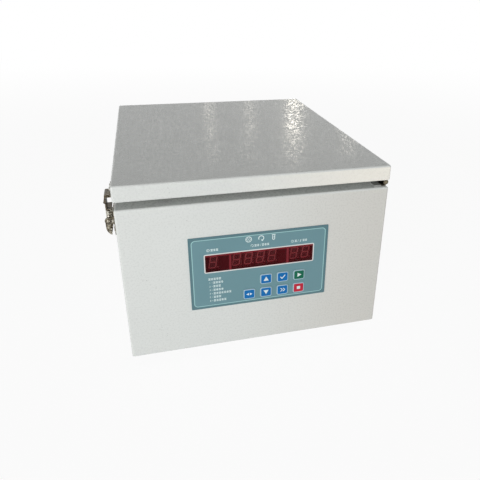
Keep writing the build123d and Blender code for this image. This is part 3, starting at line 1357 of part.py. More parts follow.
def fan_frame():
    """Square frame with a duct, corner holes and struts to the motor cup."""
    frame = block(around(FAN_X, FAN_SIDE), (BACK_Y - FAN_DEPTH, BACK_Y), around(FAN_Z, FAN_SIDE))
    frame = fillet(frame.edges().filter_by(Axis.Y), SCREW_HEAD_RADIUS)
    front = BACK_Y - FAN_DEPTH
    frame -= along_y(FAN_X, front, FAN_Z, FAN_DEPTH, FAN_DUCT_RADIUS)
    for x, z in fan_screw_places():
        frame -= along_y(x, front, z, FAN_DEPTH, SCREW_RADIUS)
    cup = along_y(FAN_X, front, FAN_Z, FAN_STRUT_DEPTH, FAN_HUB_RADIUS)
    struts = Part()
    for turn in (45, 135):
        bar = Box(2 * FAN_DUCT_RADIUS + 2 * SHEET, FAN_STRUT_DEPTH, FAN_STRUT_WIDTH)
        struts += Pos(FAN_X, front + FAN_STRUT_DEPTH / 2, FAN_Z) * Rot(0, turn, 0) * bar
    spindle = along_y(FAN_X, front, FAN_Z, FAN_DEPTH - FAN_STRUT_DEPTH, SCREW_RADIUS)
    return frame + cup + struts + spindle


def fan_rotor():
    """Hub and pitched blades."""
    front = BACK_Y - FAN_DEPTH + FAN_STRUT_DEPTH + 2 * FIT_GAP
    hub = along_y(FAN_X, front, FAN_Z, FAN_HUB_DEPTH, FAN_HUB_RADIUS)
    hub = fillet(hub.edges().sort_by(Axis.Y)[-1], SCREW_RADIUS)
    middle = front + FAN_HUB_DEPTH / 2
    reach = FAN_BLADE_RADIUS - FAN_HUB_RADIUS / 2
    for number in range(FAN_BLADES):
        blade = Box(FAN_BLADE_CHORD, FAN_BLADE_THICKNESS, reach)
        blade = Pos(0, 0, reach / 2 + FAN_HUB_RADIUS / 2) * Rot(0, 0, FAN_BLADE_PITCH) * blade
        hub += Pos(FAN_X, middle, FAN_Z) * Rot(0, 360 * number / FAN_BLADES, 0) * blade
    hub &= along_y(FAN_X, front, FAN_Z, FAN_HUB_DEPTH, FAN_BLADE_RADIUS)
    bore = FAN_DEPTH - 2 * FAN_STRUT_DEPTH + FIT_GAP
    return hub - along_y(FAN_X, front, FAN_Z, bore, SCREW_RADIUS + SHANK_GAP)


def fan_guard():
    """Wire rings on two crossed wires with a loop at each screw."""
    y = REAR_FACE_Y + GUARD_WIRE_RADIUS
    reach = FAN_HOLE_SPACING / 2
    guard = Part()
    for number in range(GUARD_RINGS):
        ring_radius = FAN_DUCT_RADIUS * (number + 1) / GUARD_RINGS
        guard += Pos(FAN_X, y, FAN_Z) * Rot(90, 0, 0) * Torus(ring_radius, GUARD_WIRE_RADIUS)
    for turn in (45, 135):
        length = 2 * (hypot(reach, reach) - GUARD_LUG_RADIUS)
        guard += Pos(FAN_X, y, FAN_Z) * Rot(0, turn, 0) * Cylinder(GUARD_WIRE_RADIUS, length)
    for x, z in fan_screw_places():
        lug = Torus(GUARD_LUG_RADIUS, GUARD_WIRE_RADIUS)
        guard += Pos(x, y, z) * Rot(90, 0, 0) * lug
    return guard


# Mains parts and electronics


def mains_inlet():
    """Three-pin appliance inlet."""
    x = INLET_X
    outer_y = REAR_FACE_Y + INLET_FLANGE
    inlet = block(
        around(x, INLET_WIDTH), (REAR_FACE_Y - INLET_BODY_DEPTH, outer_y), around(MAINS_Z, INLET_HEIGHT)
    )
    flange = block(
        around(x, INLET_WIDTH + 2 * INLET_FLANGE_LIP),
        (REAR_FACE_Y, outer_y),
        around(MAINS_Z, INLET_HEIGHT + 2 * INLET_FLANGE_LIP),
    )
    inlet += fillet(flange.edges().filter_by(Axis.Y), INLET_FLANGE_LIP)
    floor_y = outer_y - INLET_SOCKET_DEPTH
    socket = block(
        around(x, INLET_SOCKET_WIDTH), (floor_y, outer_y), around(MAINS_Z, INLET_SOCKET_HEIGHT)
    )
    lower = socket.edges().filter_by(Axis.Y).group_by(Axis.Z)[0]
    inlet -= chamfer(lower, INLET_CHAMFER)
    for side, lift in ((-1, -1), (1, -1), (0, 1)):
        pin_x = around(x + side * INLET_PIN_SPACING, PIN_THICKNESS)
        pin_z = around(MAINS_Z + lift * PIN_THICKNESS, PIN_WIDTH)
        inlet += block(pin_x, (floor_y - PIN_THICKNESS, floor_y + INLET_PIN_LENGTH), pin_z)
    return inlet


def power_switch_frame():
    """Snap-in body of the rocker switch."""
    x = SWITCH_X
    outer_y = REAR_FACE_Y + SWITCH_FLANGE
    frame = block(
        around(x, SWITCH_BODY_WIDTH),
        (REAR_FACE_Y - SWITCH_BODY_DEPTH, outer_y),
        around(MAINS_Z, SWITCH_BODY_LENGTH),
    )
    flange = block(
        around(x, SWITCH_BODY_WIDTH + 2 * SWITCH_FLANGE_LIP),
        (REAR_FACE_Y, outer_y),
        around(MAINS_Z, SWITCH_BODY_LENGTH + 2 * SWITCH_FLANGE_LIP),
    )
    frame += fillet(flange.edges().filter_by(Axis.Y), SWITCH_FLANGE_LIP)
    cavity_x = around(x, ROCKER_WIDTH + 2 * FIT_GAP)
    cavity_z = around(MAINS_Z, ROCKER_LENGTH + 2 * SWITCH_FLANGE_LIP)
    frame -= block(cavity_x, (outer_y - SWITCH_CAVITY_DEPTH, outer_y), cavity_z)
    length = ROCKER_WIDTH + 2 * FIT_GAP + 2 * ROCKER_PIVOT_END
    hole = ROCKER_PIVOT_RADIUS + SHANK_GAP
    return frame - along_x(x - length / 2, rocker_pivot_y(), MAINS_Z, length, hole)


def rocker_pivot_y():
    """Depth of the rocker's axis."""
    return REAR_FACE_Y + SWITCH_FLANGE - SWITCH_CAVITY_DEPTH / 2


def power_rocker():
    """Rocker cap, shown switched off: tilted about its pivot."""
    half = ROCKER_LENGTH / 2
    points = [
        (-half, -ROCKER_EDGE_IN),
        (-half, ROCKER_EDGE_OUT),
        (0, ROCKER_VALLEY_OUT),
        (half, ROCKER_EDGE_OUT),
        (half, -ROCKER_EDGE_IN),
    ]
    outline = make_face(Polyline(*[(0, out, z) for z, out in points], close=True))
    cap = Pos(-ROCKER_WIDTH / 2, 0, 0) * extrude(outline, ROCKER_WIDTH, dir=(1, 0, 0))
    length = ROCKER_WIDTH + 2 * ROCKER_PIVOT_END
    cap += along_x(-length / 2, 0, 0, length, ROCKER_PIVOT_RADIUS)
    return Pos(SWITCH_X, rocker_pivot_y(), MAINS_Z) * Rot(ROCKER_SWING / 2, 0, 0) * cap


def power_board():
    """Motor drive board on four feet, with its tall parts."""
    x = (POWER_BOARD_LEFT + POWER_BOARD_RIGHT) / 2
    y = AXIS_Y - POWER_BOARD_AHEAD_OF_SHAFT
    low = PLATE_TOP_Z + POWER_BOARD_LIFT
    top = low + BOARD_THICKNESS
    board = block(around(x, POWER_BOARD_WIDTH), around(y, POWER_BOARD_DEPTH), (low, top))
    for a in (-1, 1):
        for b in (-1, 1):
            foot_x = x + a * (POWER_BOARD_WIDTH / 2 - STANDOFF_INSET)
            foot_y = y + b * (POWER_BOARD_DEPTH / 2 - STANDOFF_INSET)
            board += upright(foot_x, foot_y, PLATE_TOP_Z, POWER_BOARD_LIFT, STANDOFF_RADIUS)
    coil_block = around(x - POWER_BOARD_WIDTH / 4, TRANSFORMER_SIDE)
    board += block(coil_block, around(y + TRANSFORMER_SIDE, TRANSFORMER_SIDE), (low, top + TRANSFORMER_SIDE))
    for number in range(CAPACITORS):
        can_y = y - number * CAPACITOR_PITCH
        board += upright(x - POWER_BOARD_WIDTH / 4, can_y, low, CAPACITOR_HEIGHT, CAPACITOR_RADIUS)
    sink_end = POWER_BOARD_RIGHT - POWER_BOARD_EDGE - HEATSINK_FIN
    sink_x = (sink_end - HEATSINK_BASE, sink_end)
    board += block(sink_x, around(y, HEATSINK_LENGTH), (low, top + HEATSINK_HEIGHT))
    for number in range(HEATSINK_FINS):
        fin_y = y + (number - (HEATSINK_FINS - 1) / 2) * HEATSINK_PITCH
        fin_x = (sink_x[1] - FIT_GAP, sink_x[1] + HEATSINK_FIN)
        board += block(fin_x, around(fin_y, SHEET), (low, top + HEATSINK_HEIGHT))
    return board


PARTS = {
    "case_shell": case_shell,
    "rear_panel": rear_panel,
    "base_plate": base_plate,
    "rubber_feet": lambda: group(Pos(x, y, 0) * rubber_foot() for x, y in foot_places()),
    "case_screws": case_screws,
    "case_rivets": case_rivets,
    "lid_shell": lid_shell,
    "lid_liner": lid_liner,
    "lid_insulation": lid_insulation,
    "lid_gasket": lid_gasket,
    "lid_rivets": lid_rivets,
    "lid_magnet": lid_magnet,
    "lid_sensor": lid_sensor,
    "hinge_case_leaf": lambda: hinge_leaf(DECK_Z, 0),
    "hinge_lid_leaf": lambda: hinge_leaf(LID_Z - HINGE_LEAF, 1),
    "hinge_pin": hinge_pin,
    "latch_base": latch_base,
    "latch_pivot_pins": latch_pivot_pins,
    "latch_lever": latch_lever,
    "latch_yoke": latch_yoke,
    "latch_claw": latch_claw,
    "latch_springs": latch_springs,
    "latch_catch": latch_catch,
    "keypad_overlay": keypad_overlay,
    "display_window": display_window,
    "control_board": control_board,
    "led_digits": led_digits,
    "key_switches": key_switches,
    "board_standoffs": board_standoffs,
    "bowl": bowl,
    "evaporator_coil": evaporator_coil,
    "insulation_jacket": insulation_jacket,
    "shaft_seal": shaft_seal,
    "rotor": rotor,
    "rotor_nut": rotor_nut,
    "motor_shaft": motor_shaft,
    "motor_housing": motor_housing,
    "motor_mount_plate": motor_mount_plate,
    "motor_bearings": motor_bearings,
    "motor_stator": motor_stator,
    "motor_armature": motor_armature,
    "rubber_dampers": rubber_dampers,
    "compressor": compressor,
    "condenser_fins": condenser_fins,
    "condenser_tube": condenser_tube,
    "refrigerant_lines": refrigerant_lines,
    "fan_frame": fan_frame,
    "fan_rotor": fan_rotor,
    "fan_guard": fan_guard,
    "mains_inlet": mains_inlet,
    "power_switch_frame": power_switch_frame,
    "power_rocker": power_rocker,
    "power_board": power_board,
}

os.makedirs("parts", exist_ok=True)
for part_name, make in PARTS.items():
    export_step(make(), f"parts/{part_name}.step")
for key_name in KEYS:
    export_step(key(key_name), f"parts/{key_name}.step")
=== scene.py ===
# %% [markdown]
# A bench centrifuge, dressed
#
# The CAD model already holds every size, so this script changes none of them.
# It gives each piece the finish that the real one has, adds the small things that
# sheet-metal CAD leaves out, such as ink, key symbols and wound springs, and sets up
# the camera and the light.

from math import atan2, cos, pi, radians, sin

import bmesh
import bpy
from mathutils import Matrix, Vector


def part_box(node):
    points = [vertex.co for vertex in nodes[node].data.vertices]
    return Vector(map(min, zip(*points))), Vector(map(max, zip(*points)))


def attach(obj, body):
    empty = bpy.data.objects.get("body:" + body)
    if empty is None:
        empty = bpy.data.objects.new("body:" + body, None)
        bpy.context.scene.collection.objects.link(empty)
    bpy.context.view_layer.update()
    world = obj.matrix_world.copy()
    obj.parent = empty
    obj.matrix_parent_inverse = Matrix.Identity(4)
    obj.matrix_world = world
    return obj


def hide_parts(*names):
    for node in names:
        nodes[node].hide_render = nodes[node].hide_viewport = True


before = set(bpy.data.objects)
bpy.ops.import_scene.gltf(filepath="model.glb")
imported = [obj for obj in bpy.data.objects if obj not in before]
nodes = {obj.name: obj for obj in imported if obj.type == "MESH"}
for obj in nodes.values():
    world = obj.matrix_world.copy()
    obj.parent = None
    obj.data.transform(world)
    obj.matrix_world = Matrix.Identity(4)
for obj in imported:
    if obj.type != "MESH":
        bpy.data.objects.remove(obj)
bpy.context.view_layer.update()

# %% [markdown]
# Sizes are written in millimetres, as a maker would, and turned into metres where
# a mesh is made. Places come from the CAD nodes themselves, so that a change in
# the CAD model moves the ink and the screws with it.

# %% Units and the main places
MM = 0.001


def middle(node):
    """The middle of a CAD node's box."""
    low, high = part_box(node)
    return (low + high) / 2


def in_scene(name, data):
    """An object for a mesh, curve, lamp or camera, linked into the scene."""
    obj = bpy.data.objects.new(name, data)
    bpy.context.scene.collection.objects.link(obj)
    return obj


case_low, case_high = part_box("case_shell")
lid_low, lid_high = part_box("lid_shell")
panel_low, panel_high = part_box("keypad_overlay")
panel = (panel_low + panel_high) / 2
window_low, window_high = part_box("display_window")
print("case", [round(v / MM, 1) for v in case_high - case_low])

# %% [markdown]
# The camera stands where the photographer stood. Its place and turn were worked out
# from eight corners of the case and lid: straight edges meet at vanishing points,
# and those fix the lens, the height and the angle. A small shift of the lens centre
# stands for the crop of the picture.

# %% Camera
FRAME_PIXELS = 480
FOCAL_PIXELS = 489.1
LENS_CENTRE = (275, 210)
EYE = Vector((-105.62, -648.65, 402.21)) * MM
CAMERA_YAW = 0.2653
CAMERA_PITCH = 0.4285
CAMERA_ROLL = 0.018
SENSOR_MM = 36

ahead = Vector((
    sin(CAMERA_YAW) * cos(CAMERA_PITCH),
    cos(CAMERA_YAW) * cos(CAMERA_PITCH),
    -sin(CAMERA_PITCH),
))
right = Vector((cos(CAMERA_YAW), -sin(CAMERA_YAW), 0))
down = ahead.cross(right)
rolled_right = right * cos(CAMERA_ROLL) - down * sin(CAMERA_ROLL)
rolled_down = right * sin(CAMERA_ROLL) + down * cos(CAMERA_ROLL)
axes = Matrix((rolled_right, -rolled_down, -ahead)).transposed()

camera_data = bpy.data.cameras.new("camera")
camera_data.sensor_width = SENSOR_MM
camera_data.lens = FOCAL_PIXELS / FRAME_PIXELS * SENSOR_MM
camera_data.shift_x = (FRAME_PIXELS / 2 - LENS_CENTRE[0]) / FRAME_PIXELS
camera_data.shift_y = (LENS_CENTRE[1] - FRAME_PIXELS / 2) / FRAME_PIXELS
camera_data.clip_start = 0.01
camera = in_scene("camera", camera_data)
camera.matrix_world = Matrix.Translation(EYE) @ axes.to_4x4()
bpy.context.scene.camera = camera
bpy.context.scene.view_settings.view_transform = "Standard"
print("lens", round(camera_data.lens, 2), "mm")

# %% [markdown]
# Shader maths reads better as an expression than as a web of nodes. A Signal wraps
# one output socket, and each operator on it adds a Math node. All the operators come
# from one function, which takes the node's operation.

# %% Signals


def maths(operation, swapped=False):
    """An operator for signals that adds one Math node."""

    def method(self, *others):
        values = (*others, self) if swapped else (self, *others)
        return self.web.node("ShaderNodeMath", {"operation": operation}, *values)

    return method


class Signal:
    """One output socket, which Python's operators work on."""

    def __init__(self, web, socket):
        self.web = web
        self.socket = socket

    __add__ = __radd__ = maths("ADD")
    __sub__ = maths("SUBTRACT")
    __rsub__ = maths("SUBTRACT", swapped=True)
    __mul__ = __rmul__ = maths("MULTIPLY")
    __truediv__ = maths("DIVIDE")
    __pow__ = maths("POWER")
    __abs__ = maths("ABSOLUTE")
    sine = maths("SINE")
    at_least = maths("MAXIMUM")
    at_most = maths("MINIMUM")

    def rising(self, start, end, low=0.0, high=1.0):
        """Low below start, high above end, and smooth between them."""
        smooth = {"interpolation_type": "SMOOTHSTEP"}
        return self.web.node("ShaderNodeMapRange", smooth, self, start, end, low, high)


print("signals ready")

# %% [markdown]
# A Web is a node tree in the making, which adds any node by its type, settings and
# inputs. It serves the world too. A Finish is the Web of one material, and has a word
# for each thing that the finishes below are made of: noise, cells, a mix of colours
# and a bump of a known depth.

# %% Webs and finishes


class Web:
    """A node tree in the making."""

    def __init__(self, tree):
        self.tree = tree

    def connect(self, value, socket):
        if isinstance(value, Signal):
            self.tree.links.new(value.socket, socket)
        else:
            socket.default_value = value

    def give(self, node, named):
        for name, value in named.items():
            self.connect(value, node.inputs[name.replace("_", " ")])

    def node(self, kind, settings=None, *values, output=0, **named):
        """Any node: its settings first, then its inputs in order or by name."""
        made = self.tree.nodes.new(kind)
        for name, value in (settings or {}).items():
            setattr(made, name, value)
        for number, value in enumerate(values):
            self.connect(value, made.inputs[number])
        self.give(made, named)
        return Signal(self, made.outputs[output])

    def outputs(self, signal, *names):
        """Other outputs of the node that a signal comes from."""
        return [Signal(self, signal.socket.node.outputs[name]) for name in names]


class Finish(Web):
    """A material in the making, with its Principled shader."""

    def __init__(self, name, **fixed):
        self.material = bpy.data.materials.new(name)
        self.material.use_nodes = True
        super().__init__(self.material.node_tree)
        self.surface = self.tree.nodes["Principled BSDF"]
        self.give(self.surface, fixed)

    def place(self):
        """The point on the object, in metres."""
        return self.node("ShaderNodeTexCoord", output="Object")

    def xyz(self):
        """The point's three coordinates."""
        split = self.node("ShaderNodeSeparateXYZ", None, self.place())
        return self.outputs(split, "X", "Y", "Z")

    def stretched(self, scale):
        """The point, scaled by a different amount on each axis."""
        return self.node("ShaderNodeMapping", Vector=self.place(), Scale=scale)

    def noise(self, scale, detail=2.0, roughness=0.5, vector=None):
        named = {"Scale": scale, "Detail": detail, "Roughness": roughness}
        return self.node("ShaderNodeTexNoise", Vector=vector or self.place(), **named)

    def cells(self, scale, output="Distance"):
        """Irregular cells: the distance from their middles, or a colour for each."""
        return self.node("ShaderNodeTexVoronoi", Vector=self.place(), Scale=scale, output=output)

    def mix(self, factor, first, second):
        """One colour into another."""
        made = self.tree.nodes.new("ShaderNodeMix")
        made.data_type = "RGBA"
        self.connect(factor, made.inputs[0])
        self.connect(first, made.inputs[6])
        self.connect(second, made.inputs[7])
        return Signal(self, made.outputs[2])

    def bump(self, height, depth, over=None):
        """A Bump node whose full height is depth metres."""
        named = {"Height": height, "Distance": depth, "Strength": 1.0}
        if over:
            named["Normal"] = over
        return self.node("ShaderNodeBump", **named)

    def done(self, **linked):
        """Connects what varies over the surface and returns the material."""
        self.give(self.surface, linked)
        return self.material


print("webs and finishes ready")

# %% [markdown]
# Colours are written as a paint chart gives them, from 0 to 255. The renderer adds up
# light, so it wants them on an even scale of light instead.

# %% Colours


def colour(red, green, blue):
    """A colour as a paint chart gives it, 0 to 255, in the renderer's linear scale."""
    linear = []
    for level in (red / 255, green / 255, blue / 255):
        low = level <= 0.04045
        linear.append(level / 12.92 if low else ((level + 0.055) / 1.055) ** 2.4)
    return (*linear, 1.0)


def tinted(shade, factor):
    """A lighter or darker version of a colour."""
    return (*[min(1.0, level * factor) for level in shade[:3]], 1.0)


print("middle grey is", round(colour(128, 128, 128)[0], 3))

# %% [markdown]
# Powder paint on folded sheet is never flat. It has an orange-peel skin a few
# millimetres across, a finer grain on top that breaks a lamp's reflection into
# sparks, and slow waves from the sheet itself. All three are bumps of their own
# depth, and the grain also makes the gloss uneven. Along the folds the paint is thin,
# so small nicks show the darker primer: the folds are found from the box's own
# planes, since two coordinates that are both near an outer plane can only be a fold.
# Towards the right end of its front the colour slowly turns to a second shade: a painted
# shade on the case, and a painted warm highlight on the lid's lip.

# %% Painted sheet
PAINT = colour(222, 225, 222)
# Painted shade for the right end of the case front, and a painted warm highlight for the right end
# of the lid's lip.
CASE_END_PAINTED_SHADE = colour(214, 213, 207)
LID_END_PAINTED_HIGHLIGHT = colour(246, 243, 233)
PRIMER = colour(96, 98, 94)
PAINT_GLOSS = 0.08
PEEL_PER_METRE = 330
PEEL_DEPTH = 0.07 * MM
GRAIN_PER_METRE = 460
GRAIN_DEPTH = 0.05 * MM
WAVES_PER_METRE = 9
WAVES_DEPTH = 0.9 * MM
NICK_DEPTH = 0.06 * MM
FOLD_REACH = 2.4 * MM
CHIPS_PER_METRE = 300
DUST_PER_METRE = 230
SMEARS_PER_METRE = 24


def near_planes(position, low, high, reach):
    """1 where a coordinate is within reach of either limit."""
    from_middle = abs(position - (low + high) / 2)
    half = (high - low) / 2
    return from_middle.rising(half - reach, half - reach / 3)


def painted_sheet(name, low, high, shade, painted_end_light_and_shade=None):
    """Pale powder coat on a folded box, with painted light and shade at the front's right end."""
    finish = Finish(name, IOR=1.5)
    x, y, z = finish.xyz()
    side, face, level = [
        near_planes(position, low[axis], high[axis], FOLD_REACH)
        for axis, position in enumerate((x, y, z))
    ]
    fold = (side * face).at_least(side * level).at_least(face * level)
    cloud = finish.noise(7.0, 3.0)
    tone = finish.mix(cloud, tinted(shade, 0.965), tinted(shade, 1.02))
    # Painted light and shade: the right end of the front turns to the given shade.
    if painted_end_light_and_shade is not None:
        front = 1.0 - (y - low.y).rising(FOLD_REACH / 8, FOLD_REACH / 2)
        below_fold = 1.0 - (z - high.z).rising(-FOLD_REACH, -FOLD_REACH / 2)
        to_the_right = ((x - low.x) / (high.x - low.x)).rising(0.3, 1.0)
        tone = finish.mix(front * below_fold * to_the_right, tone, painted_end_light_and_shade)
    specks = finish.cells(DUST_PER_METRE)
    lonely = finish.noise(38.0, 1.0).rising(0.61, 0.66)
    dust = lonely * (1.0 - specks.rising(0.05, 0.16))
    chips = fold * finish.noise(CHIPS_PER_METRE, 4.0, 0.7).rising(0.66, 0.70)
    chips = chips * finish.noise(16.0, 2.0).rising(0.5, 0.62)
    nicks = chips.at_least(dust * 0.5)
    paint = finish.mix(nicks, tone, PRIMER)
    waves = finish.bump(finish.noise(WAVES_PER_METRE, 1.0), WAVES_DEPTH)
    peel = finish.bump(finish.noise(PEEL_PER_METRE, 1.5, 0.45), PEEL_DEPTH, over=waves)
    grains = finish.noise(GRAIN_PER_METRE, 2.0, 0.6)
    grain = finish.bump(grains, GRAIN_DEPTH, over=peel)
    matt = grains.rising(0.4, 0.52)
    skin = finish.bump(1.0 - nicks, NICK_DEPTH, over=grain)
    smear = finish.noise(SMEARS_PER_METRE, 3.0, 0.6)
    roughness = PAINT_GLOSS + 0.42 * matt + 0.06 * smear + 0.3 * nicks
    return finish.done(Base_Color=paint, Roughness=roughness, Normal=skin)


case_paint = painted_sheet("case_paint", case_low, case_high, PAINT, CASE_END_PAINTED_SHADE)
lid_paint = painted_sheet("lid_paint", lid_low, lid_high, PAINT, LID_END_PAINTED_HIGHLIGHT)
print("paint nodes", len(case_paint.node_tree.nodes))

# %% [markdown]
# The keypad is a printed plastic film. Its ground colour, the darker margin and the
# fine frame lines are ink behind the film, so they are masks in the film's material
# and not shapes. The distance from a rounded rectangle is one short expression, and
# every frame on the panel uses it.

# %% Printed film
FILM = colour(104, 143, 151)
FILM_MARGIN = colour(84, 120, 128)
FRAME_LINE = colour(168, 212, 212)
WINDOW_LINE = colour(226, 226, 224)
LINE_INSET = 3.1 * MM
LINE_WIDTH = 0.75 * MM
LINE_CORNER = 4.5 * MM
WINDOW_LINE_WIDTH = 1.3 * MM
WINDOW_CORNER = 0.6 * MM
EDGE_BLUR = 0.08 * MM


def outside(x, z, centre, half_width, half_height, corner):
    """How far a point is outside a rounded rectangle, negative inside it."""
    across = abs(x - centre[0]) - (half_width - corner)
    along = abs(z - centre[1]) - (half_height - corner)
    corner_x, corner_z = across.at_least(0.0), along.at_least(0.0)
    beyond = (corner_x * corner_x + corner_z * corner_z) ** 0.5
    return beyond + across.at_least(along).at_most(0.0) - corner


def past(distance, limit):
    """1 past the limit, with the slight blur of a printed edge."""
    return distance.rising(limit - EDGE_BLUR, limit + EDGE_BLUR)


def printed_film():
    finish = Finish("overlay_film", IOR=1.5)
    x, _, z = finish.xyz()
    size = panel_high - panel_low
    half = size / 2 - Vector((LINE_INSET, 0, LINE_INSET))
    line = outside(x, z, (panel.x, panel.z), half.x, half.z, LINE_CORNER)
    window = middle("display_window")
    half = (window_high - window_low) / 2
    around_window = outside(x, z, (window.x, window.z), half.x, half.z, WINDOW_CORNER)
    margin = past(line, 0.0)
    on_line = 1.0 - past(abs(line + LINE_WIDTH / 2), LINE_WIDTH / 2)
    on_frame = 1.0 - past(around_window, WINDOW_LINE_WIDTH)
    cloud = finish.noise(30.0, 2.0)
    ground = finish.mix(cloud, tinted(FILM, 0.96), tinted(FILM, 1.04))
    print_colour = finish.mix(margin, ground, FILM_MARGIN)
    print_colour = finish.mix(on_line, print_colour, FRAME_LINE)
    print_colour = finish.mix(on_frame, print_colour, WINDOW_LINE)
    texture = finish.bump(finish.noise(5200.0, 1.0), 0.012 * MM)
    ripple = finish.bump(finish.noise(60.0, 1.0), 0.06 * MM, over=texture)
    wiped = finish.noise(90.0, 3.0, 0.6)
    return finish.done(Base_Color=print_colour, Roughness=0.34 + 0.14 * wiped, Normal=ripple)


overlay_film = printed_film()
print("film nodes", len(overlay_film.node_tree.nodes))

# %% [markdown]
# Moulded plastics differ in colour and in the grain of their mould. Rubber has no
# gloss and gathers pale dust. One function makes them all. Each has its own gloss, and
# its mould grain has its own count per metre and its own depth.

# %% Plastics and rubbers


def moulded(name, shade, roughness, grain, depth, dust=0.0, **fixed):
    """A moulded plastic or rubber with a fine mould grain and a little dust."""
    finish = Finish(name, **fixed)
    tone = finish.mix(finish.noise(45.0, 3.0), tinted(shade, 0.88), tinted(shade, 1.12))
    settled = finish.noise(190.0, 4.0, 0.7).rising(0.5, 0.75) * dust
    tone = finish.mix(settled, tone, colour(150, 146, 138))
    skin = finish.bump(finish.cells(grain), depth)
    worn = finish.noise(70.0, 3.0)
    return finish.done(Base_Color=tone, Roughness=roughness - 0.06 + 0.12 * worn, Normal=skin)


SEGMENT = colour(192, 88, 92)
DIGIT_FACE = colour(92, 26, 32)
# Both digit materials carry a faint painted glow, which lights them evenly behind the filter.
face_painted_glow = {"Emission_Color": DIGIT_FACE, "Emission_Strength": 0.2}
segment_painted_glow = {"Emission_Color": SEGMENT, "Emission_Strength": 0.24}
black_plastic = moulded(
    "black_plastic", colour(38, 38, 40), roughness=0.42, grain=2600, depth=0.02 * MM, dust=0.06
)
gloss_black = moulded(
    "gloss_black", colour(24, 24, 26), roughness=0.2, grain=900, depth=0.004 * MM, dust=0.03
)
rubber = moulded(
    "rubber", colour(40, 40, 42), roughness=0.68, grain=1300, depth=0.03 * MM, dust=0.22
)
gasket_rubber = moulded(
    "gasket_rubber", colour(92, 94, 96), roughness=0.55, grain=900, depth=0.02 * MM, dust=0.12
)
ink = moulded("ink", colour(222, 236, 236), roughness=0.45, grain=2400, depth=0.004 * MM)
digit_face = moulded(
    "digit_face", DIGIT_FACE, roughness=0.6, grain=1500, depth=0.006 * MM, **face_painted_glow
)
digit_segment = moulded(
    "digit_segment", SEGMENT, roughness=0.5, grain=1500, depth=0.006 * MM, **segment_painted_glow
)
print("plastics ready")

# %% [markdown]
# The display is a dark red filter with seven-segment modules behind it. Red plastic
# is darkest where black module faces lie close behind. Along its top edge and in the
# two gaps between the groups of digits the red is painted brighter: painted light where
# light and pale parts behind would show through. Those painted strips are masks on the
# filter's own coordinates. The pane is clearer in front of the modules, and each ray
# crosses both of its faces.

# %% Red filter
FILTER_DARK = colour(78, 10, 17)
FILTER_DEEP = colour(62, 7, 13)
# A brighter red for the painted light along the top edge and in the gaps.
FILTER_PAINTED_LIGHT = colour(140, 52, 60)
GAP_PLACES = ((-34.3, 2.3), (31.9, 2.6))
MODULE_PLACES = ((-52.6, 12.0), (-5.9, 52.8), (47.2, 25.6))
MODULE_HEIGHT = 17.6
TOP_STRIP = 1.9 * MM
TOP_BLUR = 0.9 * MM
GAP_BLUR = 0.8 * MM
MODULE_BLUR = 0.2 * MM
FILTER_ALPHA = 0.34
EMPTY_ALPHA = 0.88


def upright_strips(x, strips, blur):
    """1 inside upright strips, each a place and a width in millimetres."""
    inside = None
    for place, width in strips:
        off = abs(x - (panel.x + place * MM))
        half = width * MM / 2
        strip = 1.0 - off.rising(half - blur, half + blur)
        inside = strip if inside is None else inside.at_least(strip)
    return inside


def red_filter():
    finish = Finish("red_filter", Specular_IOR_Level=0.07)
    x, _, z = finish.xyz()
    top = (z - window_high.z).rising(-TOP_STRIP - TOP_BLUR, -TOP_STRIP + TOP_BLUR)
    # Painted light: the top strip and the gaps between the groups of digits.
    painted_light = top.at_least(upright_strips(x, GAP_PLACES, GAP_BLUR))
    modules = upright_strips(x, MODULE_PLACES, MODULE_BLUR)
    off_level = abs(z - middle("led_digits").z) / (MODULE_HEIGHT * MM / 2)
    modules = modules * (1.0 - off_level.rising(0.97, 1.0))
    across = (x - window_low.x) / (window_high.x - window_low.x)
    tone = finish.mix(across.rising(0.0, 0.35), FILTER_DEEP, FILTER_DARK)
    tone = finish.mix(painted_light * 0.8, tone, FILTER_PAINTED_LIGHT)
    clear = (EMPTY_ALPHA - (EMPTY_ALPHA - FILTER_ALPHA) * modules).at_least(0.9 * painted_light)
    smear = finish.noise(120.0, 3.0, 0.6)
    skin = finish.bump(finish.noise(40.0, 1.0), 0.04 * MM)
    return finish.done(Base_Color=tone, Roughness=0.16 + 0.12 * smear, Alpha=clear, Normal=skin)


red_glass = red_filter()
print("filter gaps", GAP_PLACES)

# %% [markdown]
# Metals are told apart by how they were worked. Zinc plate is a patchwork of dull and
# bright crystals under a slightly yellow film. Cells give the patchwork, and noise
# that is squeezed along one axis gives the fine scratches.

# %% Zinc plate


def plated(name, shade, roughness, patch=900.0, yellow=0.25):
    """Zinc plate: small bright and dull patches, a yellow film and fine scratches."""
    finish = Finish(name, Metallic=1.0)
    patches = finish.cells(patch, "Color")
    tone = finish.mix(0.22, shade, patches)
    tone = finish.mix(0.85, tone, shade)
    film = finish.noise(60.0, 3.0).rising(0.35, 0.75) * yellow
    tone = finish.mix(film, tone, colour(178, 160, 112))
    dirt = finish.noise(420.0, 4.0, 0.7).rising(0.56, 0.72)
    tone = finish.mix(dirt * 0.6, tone, colour(62, 54, 44))
    hairs = finish.noise(1.0, 2.0, 0.6, vector=finish.stretched((400.0, 400.0, 3000.0)))
    skin = finish.bump(finish.noise(700.0, 3.0), 0.03 * MM)
    skin = finish.bump(hairs, 0.008 * MM, over=skin)
    worn = finish.noise(260.0, 3.0)
    roughness = roughness - 0.1 + 0.2 * worn + 0.2 * dirt
    return finish.done(Base_Color=tone, Roughness=roughness, Normal=skin)


# The hinge pin's zinc is darker than the screws': partly dull plate, partly painted shade of the
# gap under the lid.
zinc = plated("shaded_zinc_plate", colour(122, 116, 102), roughness=0.36)
screw_zinc = plated("screw_zinc", colour(172, 172, 168), roughness=0.3, yellow=0.1)
print("zinc plate in two shades")

# %% [markdown]
# Spun stainless keeps fine rings around its axis. A turned rotor was blasted and
# anodised afterwards, so an even grain lies over its rings. Noise that knows nothing
# but the distance from the axis and the height gives rings on flats and walls alike.

# %% Turned metal
axis_place = middle("rotor")


